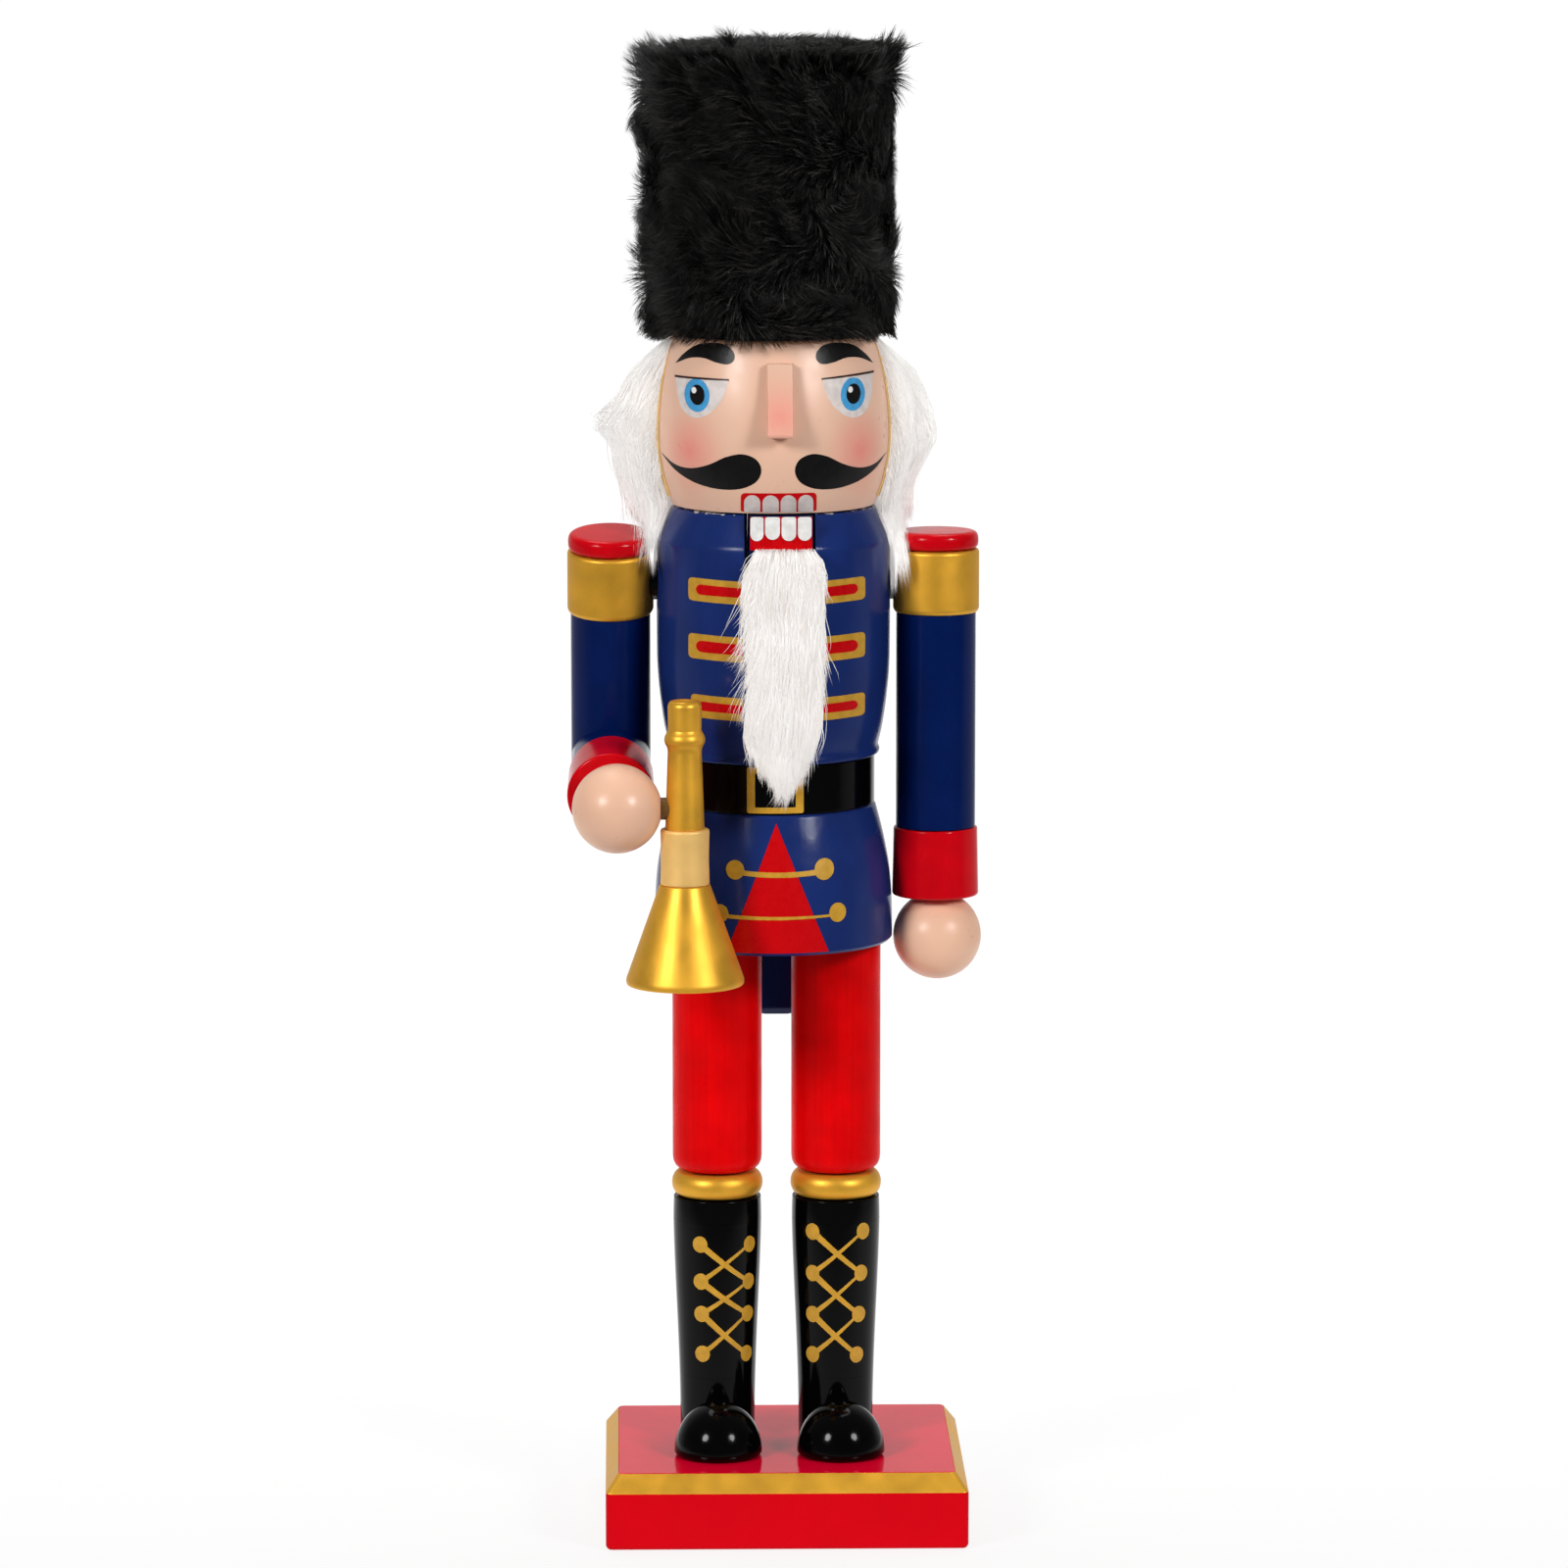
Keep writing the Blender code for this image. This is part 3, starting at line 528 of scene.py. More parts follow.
def skin_paint(name, colour, blushes=()):
    """Satin flesh paint with sprayed blushes at points (place, radius, strength)."""
    m = Nodes(name, colour, 0.32)
    m.set("Specular IOR Level", 0.35)
    cloud = m.remap(m.noise(70, 3), 0.3, 0.7)
    base = m.mix(cloud, mixed(colour, (0.7, 0.36, 0.22), 0.1), scaled(colour, 1.02))
    speck = m.remap(m.noise(2500, 2), 0.3, 0.7, 0.8, 1.1)
    for place, radius, strength in blushes:
        share = m.add("ShaderNodeMath", operation="SMOOTH_MIN")
        share.inputs[1].default_value, share.inputs[2].default_value = 1.0, 0.4
        m.link(m.maths("MULTIPLY", m.maths("POWER", m.near(place, radius), 1.25), speck), share.inputs[0])
        base = m.mix(m.maths("MULTIPLY", share.outputs[0], strength), base, (0.9, 0.24, 0.2))
    m.colour(base)
    m.link(m.remap(m.noise(200, 3), 0.3, 0.7, 0.27, 0.38), m.shader.inputs["Roughness"])
    m.bump((m.noise(300, 2), 0.0001, 0.25), (m.noise(1500, 3, (1, 1, 0.05)), 0.00003, 0.3))
    return m.material


def bare_wood(name, colour):
    m = Nodes(name, colour, 0.6)
    rings = m.remap(m.noise(1200, 4, (1, 1, 0.04)), 0.3, 0.7)
    m.colour(m.mix(rings, mixed(colour, (0, 0, 0), 0.35), mixed(colour, (1, 1, 1), 0.08)))
    m.bump((rings, 0.00005, 0.5))
    return m.material


def metal(name, colour):
    m = Nodes(name, colour, 0.3, 1.0)
    brushed = m.remap(m.noise(2500, 3, (0.05, 1, 1)), 0.3, 0.7)
    m.link(m.remap(brushed, 0, 1, 0.22, 0.4), m.shader.inputs["Roughness"])
    m.bump((brushed, 0.00001, 0.3))
    return m.material


def fibre(name, colour, roughness, sheen=0.0):
    m = Nodes(name, colour, roughness)
    m.set("Sheen Weight", sheen)
    m.set("Specular IOR Level", 0.32)
    return m.material


RED, BLUE, SLEEVE_BLUE = (0.6, 0.0008, 0.006), (0.0095, 0.026, 0.145), (0.001, 0.010, 0.082)
BLACK, GOLD, OCHRE = (0.0012, 0.0011, 0.0011), (0.8, 0.405, 0.024), (0.58, 0.31, 0.028)
SKIN, HAND_SKIN = (0.84, 0.53, 0.385), (0.86, 0.52, 0.36)


def make_paints():
    head_low = span("head")[0]
    nose_low, nose_high = span("nose")
    chest_high = span("chest")[1]
    cheeks = [((side * 21.6, -20.8, head_low[2] + 15.4), 12.3, 0.86) for _, side in SIDES]
    tip = ((nose_low[0] + nose_high[0]) / 2, nose_low[1] + 1.5, nose_low[2] + 5.2)
    return {
        "red": lacquer("red_lacquer", RED, 0.16, 0.14),
        "trouser": lacquer("trouser_lacquer", (0.76, 0.0008, 0.002), 0.32, 0.06, 0.28),
        "base_red": lacquer("block_side_lacquer", RED, 0.3, 0.03, 0.03, ripple=0.1, cloudy=0.3),
        # painted light: the block's top is a lighter and pinker red than its sides, standing for the light
        # and the pale reflection on the upward face
        "lit_block_top": lacquer("lit_block_top_lacquer", (0.85, 0.001, 0.03), 0.05, 0.32, 0.05, ripple=0.1,
                            cloudy=0.4),
        # the jacket has pale flecks along its top rim
        "chest": lacquer("jacket_lacquer", BLUE, 0.2, 0.16, 0.12,
                         [(chest_high[2], 0.9)], 0.45),
        # painted shade: the slot's walls are a quarter as bright as the jacket's blue and have no gloss,
        # standing for the shade inside the narrow slot
        "slot_inner_shade": hand_paint("slot_inner_shade_paint", scaled(BLUE, 0.25), 0.9, 0.0),
        "blue": lacquer("skirt_lacquer", BLUE, 0.2, 0.16, 0.12, ripple=0.45),
        "sleeve": lacquer("sleeve_lacquer", SLEEVE_BLUE, 0.16, 0.12, 0.1),
        "black": lacquer("black_lacquer", BLACK, 0.1, 0.12, 0.0, ripple=0.16),
        "gold": metallic_paint("gold_paint", GOLD),
        "pale_gold": metallic_paint("pale_gold_paint", (0.93, 0.57, 0.18), 0.5, 0.3),
        "skin": skin_paint("face_paint", SKIN, cheeks),
        "nose": skin_paint("nose_paint", SKIN, [(tip, 13.0, 0.7)]),
        "hand": skin_paint("hand_paint", HAND_SKIN),
        "ochre": hand_paint("ochre_paint", OCHRE),
        "trim_red": hand_paint("trim_red_paint", (0.57, 0.0015, 0.004), 0.28, 0.12, 0.3),
        "trim_black": hand_paint("trim_black_paint", (0.004, 0.0035, 0.0035), 0.3, 0.25),
        "lash": hand_paint("lash_paint", (0.03, 0.008, 0.004)),
        "sclera": hand_paint("sclera_paint", (0.74, 0.66, 0.63)),
        "iris": hand_paint("iris_paint", (0.06, 0.34, 0.66)),
        "white": hand_paint("white_paint", (0.85, 0.84, 0.82), 0.25),
        "grey_tooth": hand_paint("upper_tooth_paint", (0.68, 0.6, 0.57), 0.3),
        "tan": hand_paint("hair_backing", (0.84, 0.56, 0.25), 0.8, 0.0),
        "wood": bare_wood("bare_wood", (0.6, 0.42, 0.24)),
        "steel": metal("pin_steel", (0.5, 0.5, 0.51)),
        "peg": lacquer("peg_paint", (0.16, 0.08, 0.02), 0.3, 0.3),
    }


# ---------------------------------------------------------------- the block and the legs

def make_base(paints):
    block = softened_copy("block", "base_block", 0.45, [paints["base_red"], paints["gold"],
                                                        paints["lit_block_top"]], "figure", foot=1.3)
    low, high = span("base_block")
    edge = low[2] + 14.7
    slots = []
    for face in block.data.polygons:
        middle = face.center.z / MM
        gilt = edge - 0.1 < middle < high[2] - 0.12 and face.normal.z < 0.93
        # upward faces above the chamfer take the lighter red that stands for the light on the block's top
        slots.append(1 if gilt else 2 if face.normal.z > 0.9 and middle > edge else 0)
    block.data.polygons.foreach_set("material_index", np.array(slots, np.int32))
    repaint(["base_screw_right", "base_screw_left"], paints["steel"])


BOOT = [(0, 0, 0), (0.84, 0, 0.2), (0.85, 0.2, 5), (0.87, 0.32, 4), (0.905, 0.48, 5), (0.95, 0.65, 5),
        (0.99, 0.83, 5), (1.0, 0.93, 3), (0.985, 1.0, 0.25), (0, 1.0, 0)]
TROUSER = [(0, 0, 0), (1.0, 0, 3.8), (1.0, 1.0, 0.2), (0, 1.0, 0)]
RING_SHOULDER = 9.5            # the ring's radius where it meets the boot and the trouser leg

# Lacing dots on each boot: heights, and x of the two columns at the top and at the bottom
LACES = {"right": ((72.0, 62.3, 53.8, 43.3), (-4.5, 8.0), (-3.9, 7.2), (0.0, -0.4)),
         "left": ((75.1, 64.2, 53.4, 42.8), (-6.1, 6.7), (-6.0, 5.1), (0.0, 0.0))}
DOT_RADIUS, DOT_HEIGHT = 2.0, 2.15


def make_leg(side_name, paints):
    parts = {}
    for node, fractions, paint, slot in (("boot", BOOT, "black", "black_gloss"),
                                         ("knee_ring", None, "gold", "gold"),
                                         ("trouser_leg", TROUSER, "trouser", "red_gloss")):
        full = f"{node}_{side_name}"
        profile = fitted(full, fractions) if fractions else ring_profile(full)
        part = Turning(full, profile)
        verts, faces = lathe(profile, 96, part.centre)
        add_piece(f"{full}_turned", verts, faces, paints[paint], "figure", [full])
        parts[node] = part
    make_laces(side_name, parts["boot"], paints)
    make_toe(side_name, parts["boot"], paints)
    repaint([f"knee_dowel_{side_name}", f"hip_dowel_{side_name}"], paints["wood"])


def ring_profile(node):
    low, high = span(node)
    radius, middle, half = (high[0] - low[0]) / 2, (low[2] + high[2]) / 2, (high[2] - low[2]) / 2
    bulge = arc((RING_SHOULDER, middle), (radius - RING_SHOULDER, half), -90, 90, 18)
    return np.vstack([[(0, low[2])], bulge, [(0, high[2])]])


def make_laces(side_name, boot, paints):
    """Four rows of two dots with crossed laces between the rows."""
    heights, top, bottom, (drop_left, drop_right) = LACES[side_name]
    share = [(heights[0] - z) / (heights[0] - heights[-1]) for z in heights]
    left = [(top[0] + (bottom[0] - top[0]) * s, z + drop_left) for s, z in zip(share, heights)]
    right = [(top[1] + (bottom[1] - top[1]) * s, z + drop_right) for s, z in zip(share, heights)]
    for row, (a, b) in enumerate(zip(left, right)):
        for column, dot in (("a", a), ("b", b)):
            squeeze = math.sqrt(max(0.2, 1 - (dot[0] / boot.radius(dot[1])) ** 2))
            painted(f"lace_dot_{side_name}_{column}{row}",
                    [arc(dot, (DOT_RADIUS * squeeze, DOT_HEIGHT), 0, 345, 23)],
                    boot.front, paints["ochre"], "figure", PAINT_LIFT + 0.05, 0.17)
    for row in range(len(heights) - 1):
        for name, start, end, wide, narrow, lift in (("a", left[row], right[row + 1], 0.85, 0.5, 0.03),
                                                     ("b", right[row], left[row + 1], 0.3, 0.65, 0.0)):
            stroke = brush_stroke(start, end, wide, narrow)
            painted(f"lace_{side_name}_{name}{row}", [stroke], boot.front, paints["ochre"], "figure",
                    PAINT_LIFT + lift, 0.12 + lift)


def brush_stroke(start, end, start_half, end_half, sag=0.0, steps=8):
    """The outline of a stroke that changes width and may sag in the middle."""
    start, end = np.array(start, float), np.array(end, float)
    along = (end - start) / np.linalg.norm(end - start)
    across = np.array([-along[1], along[0]])
    upper, lower = [], []
    for t in np.linspace(0, 1, steps + 1):
        middle = start + (end - start) * t - np.array([0, sag * 4 * t * (1 - t)])
        half = start_half + (end_half - start_half) * t
        upper.append(middle + across * half)
        lower.append(middle - across * half)
    return np.array(upper[::-1] + lower)


def make_toe(side_name, boot, paints):
    """A dome toe, hollowed at the back to sit against its boot."""
    node = f"toe_cap_{side_name}"
    low, high = span(node)
    radius, height = (high[0] - low[0]) / 2, high[2] - low[2]
    centre = np.array([(low[0] + high[0]) / 2, low[1] + radius])
    dome = arc((0.0, low[2] + 0.8), (radius, height - 0.8), 0, 90, 20)
    profile = np.vstack([[(0, low[2]), (radius - 0.5, low[2])], dome[:-1], [(0, high[2])]])
    verts, faces = lathe(profile, 112, centre)
    toe = add_piece(f"{node}_dome", verts, faces, paints["black"], "figure", [node])
    room, room_faces = lathe([(boot.radius(low[2] + 4) + 0.12, low[2] - 3),
                              (boot.radius(low[2] + 4) + 0.12, high[2] + 3)],
                             112, boot.centre)
    carve(toe, raw_object(room, room_faces))


# ---------------------------------------------------------------- the torso

def bell(node, points):
    """A smooth flare through (radius, height above the node's foot) points, with soft rims."""
    low, high = span(node)
    curve = smooth_curve(points, 8) + [0, low[2]]
    return np.vstack([[(0, low[2]), (curve[0][0] - 0.6, low[2])], curve,
                      [(curve[-1][0] - 0.4, high[2]), (0, high[2])]])


SKIRT_CURVE = [(30.2, 0.7), (30.2, 5.0), (30.05, 11.0), (29.4, 19.0), (28.0, 26.5), (26.2, 33.6),
               (25.8, 34.7)]
CHEST_BOW = [(26.5, 2.1), (27.75, 7.5), (28.9, 16.0), (29.45, 24.0), (29.55, 34.0), (29.6, 53.6)]
LEVER_ROOM = 0.3               # each side of the lever, deep in the slot
COLLAR_DROP = 8.4              # from the top of the jacket down to the crease of its shoulders
DOT_ROWS = ((171.6, -10.1, 12.2, 2.4, 2.7, 0.62, 0.68, 0.5),
            (160.5, -13.9, 15.6, 2.3, 2.45, 0.5, 0.3, 0.25))
FROG_ROWS = ((241.9, 5.8, 2.6, 1.2), (227.6, 6.3, 2.9, 1.2), (212.4, 5.9, 2.4, 1.2))
FROG_OUTER, FROG_OVERLAP = {-1: -21.6, 1: 22.6}, 0.35
SLOT_MIDDLE, SLOT_HALF, SLOT_FLOOR = 1.1, 8.85, 217.6


def make_torso(paints):
    skirt = Turning("skirt", bell("skirt", SKIRT_CURVE))
    verts, faces = lathe(skirt.profile, 160, skirt.centre)
    add_piece("skirt_turned", verts, faces, paints["blue"], "figure", ["skirt"])
    belt = Turning("belt_block", fitted("belt_block", [(0, 0, 0), (1, 0, 0.25), (1, 1, 0.25), (0, 1, 0)]))
    verts, faces = lathe(belt.profile, 160, belt.centre)
    add_piece("belt_turned", verts, faces, paints["black"], "figure", ["belt_block"])
    chest = make_chest(paints)
    make_skirt_trim(skirt, paints)
    make_buckle(belt, paints)
    make_frogs(chest, paints)
    repaint(["waist_dowel", "neck_dowel_right", "neck_dowel_left"], paints["wood"])
    repaint(["jaw_pin"], paints["steel"])


def make_chest(paints):
    low, high = span("chest")
    bow = smooth_curve(CHEST_BOW, 6) + [0, low[2]]
    foot = rounded([(0, low[2], 0), (26.7, low[2], 0.35), (27.0, low[2] + 0.9, 0.5), (26.5, low[2] + 2.0, 0)])
    collar = rounded([tuple(bow[-1]) + (0,), (29.6, high[2] - COLLAR_DROP, 0.9), (25.7, high[2] - 0.3, 0.5),
                      (24.6, high[2], 0)])
    chest = Turning("chest", np.vstack([foot, bow[1:-1], collar, [(0, high[2])]]))
    verts, faces = lathe(chest.profile, 160, chest.centre)
    piece = add_piece("jacket_turned", verts, faces, paints["chest"], "figure", ["chest"])
    lever_low, lever_high = span("jaw_lever")
    carve(piece, box_cutter((SLOT_MIDDLE - SLOT_HALF, -40, SLOT_FLOOR),
                            (SLOT_MIDDLE + SLOT_HALF, -14, high[2] + 3)))
    carve(piece, box_cutter((lever_low[0] - LEVER_ROOM, -14.2, SLOT_FLOOR),
                            (lever_high[0] + LEVER_ROOM, 40, high[2] + 3)))
    bevel = piece.modifiers.new("edge", "BEVEL")
    bevel.width, bevel.segments = 0.28 * MM, 2
    bevel.limit_method, bevel.angle_limit = "ANGLE", math.radians(48)
    apply_modifiers(piece)
    # the slot's walls take the dark paint that stands for the shade inside the slot
    piece.data.materials.append(paints["slot_inner_shade"])
    for face in piece.data.polygons:
        if abs(face.center.x / MM - SLOT_MIDDLE) < SLOT_HALF + 0.05 and abs(face.normal.x) > 0.99:
            face.material_index = len(piece.data.materials) - 1
    return chest


def make_skirt_trim(skirt, paints):
    """The red coat-tail front with its two rows of dot, line, dot."""
    foot, apex = skirt.heights[0] + 0.2, 183.2
    left, right, tip = (-12.6, foot), (13.6, foot), (0.2, apex)
    sides = [np.linspace(tip, left, 14), np.linspace(left, right, 14)[1:-1], np.linspace(right, tip, 14)[:-1]]
    painted("coat_front_red", [np.vstack(sides)], skirt.front, paints["trim_red"], "figure", 0.06, 0.12)
    for row, (z, left_x, right_x, left_r, right_r, left_half, right_half, sag) in enumerate(DOT_ROWS):
        for side_name, x, radius in (("right", left_x, left_r), ("left", right_x, right_r)):
            squeeze = math.sqrt(1 - (x / skirt.radius(z)) ** 2)
            dot = arc((x, z), (radius * squeeze, radius), 0, 348, 29)
            painted(f"coat_dot_{side_name}_{row}", [dot], skirt.front, paints["ochre"], "figure",
                    0.17, 0.22)
        line = brush_stroke((left_x + 1.2, z - 0.6), (right_x - 1.2, z - 0.6), left_half, right_half, sag, 20)
        painted(f"coat_line_{row}", [line], skirt.front, paints["ochre"], "figure", 0.14, 0.19)


def outline_box(left, right, low, high, corner):
    """A rectangle with rounded corners, anticlockwise."""
    corners = ((right - corner, high - corner), (left + corner, high - corner),
               (left + corner, low + corner), (right - corner, low + corner))
    return np.vstack([arc(centre, corner, 90 * i, 90 * i + 90, 5) for i, centre in enumerate(corners)])


def make_buckle(belt, paints):
    low, high = belt.heights[0] + 0.3, belt.heights[-1] - 0.3
    painted("belt_buckle", [outline_box(-7.1, 7.1, low, high, 0.5),
                            outline_box(-5.1, 5.1, low + 1.5, high - 1.5, 0.2)],
            belt.front, paints["ochre"], "figure", 0.1, 0.15)


def make_frogs(chest, paints):
    """Three braid bars on each side of the slot: an ochre border round a red core."""
    for row, (z, height, core, corner) in enumerate(FROG_ROWS):
        for side_name, side in SIDES:
            outer = FROG_OUTER[side] + (0.6 if row == 2 and side < 0 else 0)
            inner = SLOT_MIDDLE + side * (SLOT_HALF + FROG_OVERLAP)
            flare = 0.35
            bar = rounded([(inner, z + height / 2 - flare, 0), (outer, z + height / 2, corner),
                           (outer, z - height / 2, corner), (inner, z - height / 2 - flare, 0)])
            bend = side * core / 2
            heart = np.vstack([[(inner, z + core / 2 - 0.4)],
                               arc((outer - side * 1.9 - bend, z), (bend, core / 2), 90, -90, 8),
                               [(inner, z - core / 2 - 0.2)]])
            painted(f"frog_{side_name}_{row}", [bar], chest.front, paints["ochre"], "figure", 0.1, 0.16)
            painted(f"frog_core_{side_name}_{row}", [heart], chest.front, paints["trim_red"], "figure",
                    0.16, 0.2)


# ---------------------------------------------------------------- the jaw

def tooth(x_low, x_high, z_low, z_high, rounded_end, corner=0.6):
    """A tooth with one round end, either up (+1) or down (-1)."""
    half, middle = (x_high - x_low) / 2, (x_low + x_high) / 2
    if rounded_end > 0:
        return np.vstack([arc((middle, z_high - half), half, 0, 180, 10), [(x_low, z_low), (x_high, z_low)]])
    return np.vstack([arc((x_high - corner, z_high - corner), corner, 0, 90, 3),
                      arc((x_low + corner, z_high - corner), corner, 90, 180, 3),
                      arc((middle, z_low + half), half, 180, 360, 10)])


def make_jaw(paints):
    lever = softened_copy("jaw_lever_shaped", "jaw_lever", 0.35, [paints["sleeve"]], "jaw")
    low, high = span("jaw_lever")
    front = flat_front((low[0] + high[0]) / 2, low[1])
    gum_top, gum_foot, half = high[2] - 0.03, high[2] - 8.4, (high[0] - low[0]) / 2 - 0.2
    painted("lower_gum", [outline_box(-half, half, gum_foot, gum_top, 0.3)], front, paints["trim_red"],
            "jaw", 0.07, 0.13)
    for i, (left, right, drop) in enumerate(((-7.7, -4.4, 6.0), (-4.0, -0.3, 5.7), (0.1, 3.7, 6.0),
                                             (4.15, 7.6, 5.95))):
        painted(f"lower_tooth_{i}", [tooth(left, right, gum_top - drop, gum_top, -1)], front, paints["white"],
                "jaw", 0.4, 0.5, 0.7)


# ---------------------------------------------------------------- the head

MOUSTACHE = [(28.2, 274.8), (25.0, 272.6), (21.2, 272.1), (16.8, 273.4), (12.6, 275.6), (8.6, 276.4),
             (5.3, 275.0), (4.2, 272.2), (5.6, 269.3), (9.5, 267.5), (15.0, 267.3), (20.5, 268.6),
             (25.0, 271.2)]
BROW = [(24.7, 297.7), (22.7, 300.2), (19.6, 302.6), (15.8, 303.5), (12.4, 303.2), (10.4, 301.6),
        (10.2, 299.7), (11.7, 298.5), (14.6, 298.8), (17.8, 299.7), (21.2, 299.4)]
SCLERA = [(24.3, 290.6), (23.2, 287.0), (21.0, 285.1), (18.6, 285.1), (16.2, 286.4), (13.8, 289.0),
          (12.3, 292.2)]
EYE_X, EYE_Z = 19.4, 290.7


def mirror(points, side):
    """Points given for the figure's left side, mirrored for its right side."""
    return [(side * x, z) for x, z in points]


def tipped(points, side, steps=6):
    """A closed smooth outline whose first point stays a sharp tip."""
    return smooth_curve(mirror(points + points[:1], side), steps)[:-1]


def make_head(paints):
    low, high = span("head")
    widest, end_radius, top_radius, radius = 280.0, 25.5, 25.5, (high[0] - low[0]) / 2
    heights = np.linspace(low[2] + 0.12, high[2] - 0.3, 30)
    ends = np.where(heights < widest, low[2], high[2])
    drops = np.where(heights < widest, radius - end_radius, radius - top_radius)
    radii = radius - drops * ((heights - widest) / (ends - widest)) ** 2
    profile = np.vstack([[(0, low[2]), (radii[0] - 0.5, low[2])], np.stack([radii, heights], 1),
                         [(radii[-1] - 0.5, high[2]), (0, high[2])]])
    head = Turning("head", profile)
    verts, faces = lathe(profile, 160, head.centre)
    add_piece("head_turned", verts, faces, paints["skin"], "figure", ["head"])
    softened_copy("nose_wedge", "nose", 0.35, [paints["nose"]], "figure")
    for side_name, side in SIDES:
        make_eye(side_name, side, head, paints)
        whisker = tipped(MOUSTACHE, side)
        whisker[:, 0] += 0.75 * (1 - np.abs(whisker[:, 0]) / 28.2)
        painted(f"moustache_{side_name}", [whisker], head.front, paints["trim_black"], "figure", 0.09, 0.14)
        painted(f"brow_{side_name}", [tipped(BROW, side)], head.front, paints["trim_black"], "figure",
                0.09, 0.14)
    make_upper_teeth(head, paints)


def make_eye(side_name, side, head, paints):
    outer_z, inner_z = (294.6, 294.7) if side < 0 else (295.6, 294.9)
    lid = [(24.6, outer_z - 0.3), (11.7, inner_z - 0.2)]
    white = np.vstack([mirror([lid[1], lid[0]], side), smooth_curve(mirror(SCLERA, side), 5)])
    lift = 0.2 if side > 0 else 0.0
    centre = (side * EYE_X, EYE_Z - 0.2 + lift)
    iris = np.vstack([arc(centre, (3.1, 4.1), 0, 345, 23)])
    iris[:, 1] = np.minimum(iris[:, 1], min(outer_z, inner_z) - 0.15)
    painted(f"eye_white_{side_name}", [white], head.front, paints["sclera"], "figure", 0.05, 0.1)
    painted(f"iris_{side_name}", [iris], head.front, paints["iris"], "figure", 0.1, 0.12, 0.8)
    pupil = arc((centre[0] + 0.1, centre[1] + 0.1), (1.8, 2.5), 0, 345, 23)
    painted(f"pupil_{side_name}", [pupil], head.front, paints["trim_black"], "figure", 0.14, 0.1, 0.7)
    glint = arc((centre[0] - 0.7, centre[1] + 1.2), (0.6, 0.8), 0, 330, 11)
    painted(f"eye_glint_{side_name}", [glint], head.front, paints["white"], "figure", 0.18, 0.1, 0.4)
    line = brush_stroke((side * 24.8, outer_z), (side * 11.5, inner_z), 0.26, 0.2, -0.05, 14)
    line = line if side > 0 else line[::-1]
    painted(f"eyelid_{side_name}", [line], head.front, paints["lash"], "figure", 0.15, 0.12, 0.8)


def make_upper_teeth(head, paints):
    low = head.heights[0] + 0.02
    panel = rounded([(-8.6, low, 0), (-8.6, low + 5.4, 1.2), (10.3, low + 5.4, 1.2), (10.3, low, 0)])
    painted("upper_gum", [panel], head.front, paints["trim_red"], "figure", 0.06, 0.12)
    for i, (left, right) in enumerate(((-7.75, -3.75), (-3.2, 0.85), (1.3, 5.2), (5.65, 9.45))):
        painted(f"upper_tooth_{i}", [tooth(left, right, low, low + 4.9, 1)], head.front,
                paints["grey_tooth"], "figure",
                0.14, 0.16, 0.8)


# ---------------------------------------------------------------- the arms and the horn

CAP = [(0, 0, 0), (1.0, 0.0, 1.5), (1.0, 1.0, 2.0), (0, 1.0, 0)]
BAND = [(0, 0, 0), (0.955, 0, 0.2), (1.0, 0.05, 0.5), (1.0, 1.0, 1.0), (0, 1.0, 0)]
SLEEVE_RADIUS, CAP_RADIUS = 10.1, 10.7
TUBE = [(0, 0, 0), (1.0, 0, 0.25), (1.0, 1.0, 0.25), (0, 1.0, 0)]
CUFF = [(0, 0, 0), (0.97, 0, 0.5), (1.0, 1.0, 0.8), (0, 1.0, 0)]
BALL_RADIUS, HAND_SHIFT = 11.2, {"right": 1.5, "left": 0.5}


def sized(fractions, radius, foot, height):
    return rounded([(r * radius, foot + z * height, q) for r, z, q in fractions])


def shoulder_frame(joint_name, tilt):
    joint = next(j for j in frame["joints"] if j["name"] == joint_name)
    place = Vector(joint["pos_m"]) / MM
    return Matrix.Translation(place) @ Matrix.Rotation(math.radians(tilt), 4, "X")


def arm_piece(node, profile, matrix, paint, body, segments=96):
    verts, faces = lathe(profile, segments)
    return add_piece(f"{node}_turned", moved(verts, matrix), faces, paint, body, [node])


def make_arm(side_name, body, matrix, sleeve_foot, paints):
    low, high = span("shoulder_band_left")
    half, radius = (high[2] - low[2]) / 2, (high[0] - low[0]) / 2
    arm_piece(f"shoulder_cap_{side_name}", sized(CAP, CAP_RADIUS, half + 0.15, 4.45), matrix,
              paints["red"], body)
    arm_piece(f"shoulder_band_{side_name}", sized(BAND, radius, -half, 2 * half), matrix, paints["gold"],
              body)
    if side_name == "left":
        sleeve = sized(TUBE, SLEEVE_RADIUS, sleeve_foot, -half - sleeve_foot)
    else:
        elbow = arc((0, -ELBOW_DROP), SLEEVE_RADIUS, -90, 0, 12)
        elbow[0, 0] = 0.0
        sleeve = np.vstack([elbow, [(SLEEVE_RADIUS, -half - 0.1), (0, -half - 0.1)]])
    arm_piece(f"sleeve_{side_name}", sleeve, matrix, paints["sleeve"], body)


def cuff_and_hand(side_name, body, matrix, paints):
    """A cuff along +Z of the matrix from its origin, and the ball hand past it."""
    arm_piece(f"cuff_{side_name}", sized(CUFF, 11.0, 0.0, CUFF_LENGTH), matrix, paints["red"], body)
    start = math.degrees(math.asin((HAND_SET - 0.15) / BALL_RADIUS))
    ball = arc((0, CUFF_LENGTH + HAND_SET), BALL_RADIUS, -start, 90, 28)
    ball[-1, 0] = 0.0
    aside = matrix @ Matrix.Translation((HAND_SHIFT[side_name], 0, 0))
    arm_piece(f"hand_{side_name}", np.vstack([[(0, ball[0][1])], ball]), aside, paints["hand"], body,
              112)


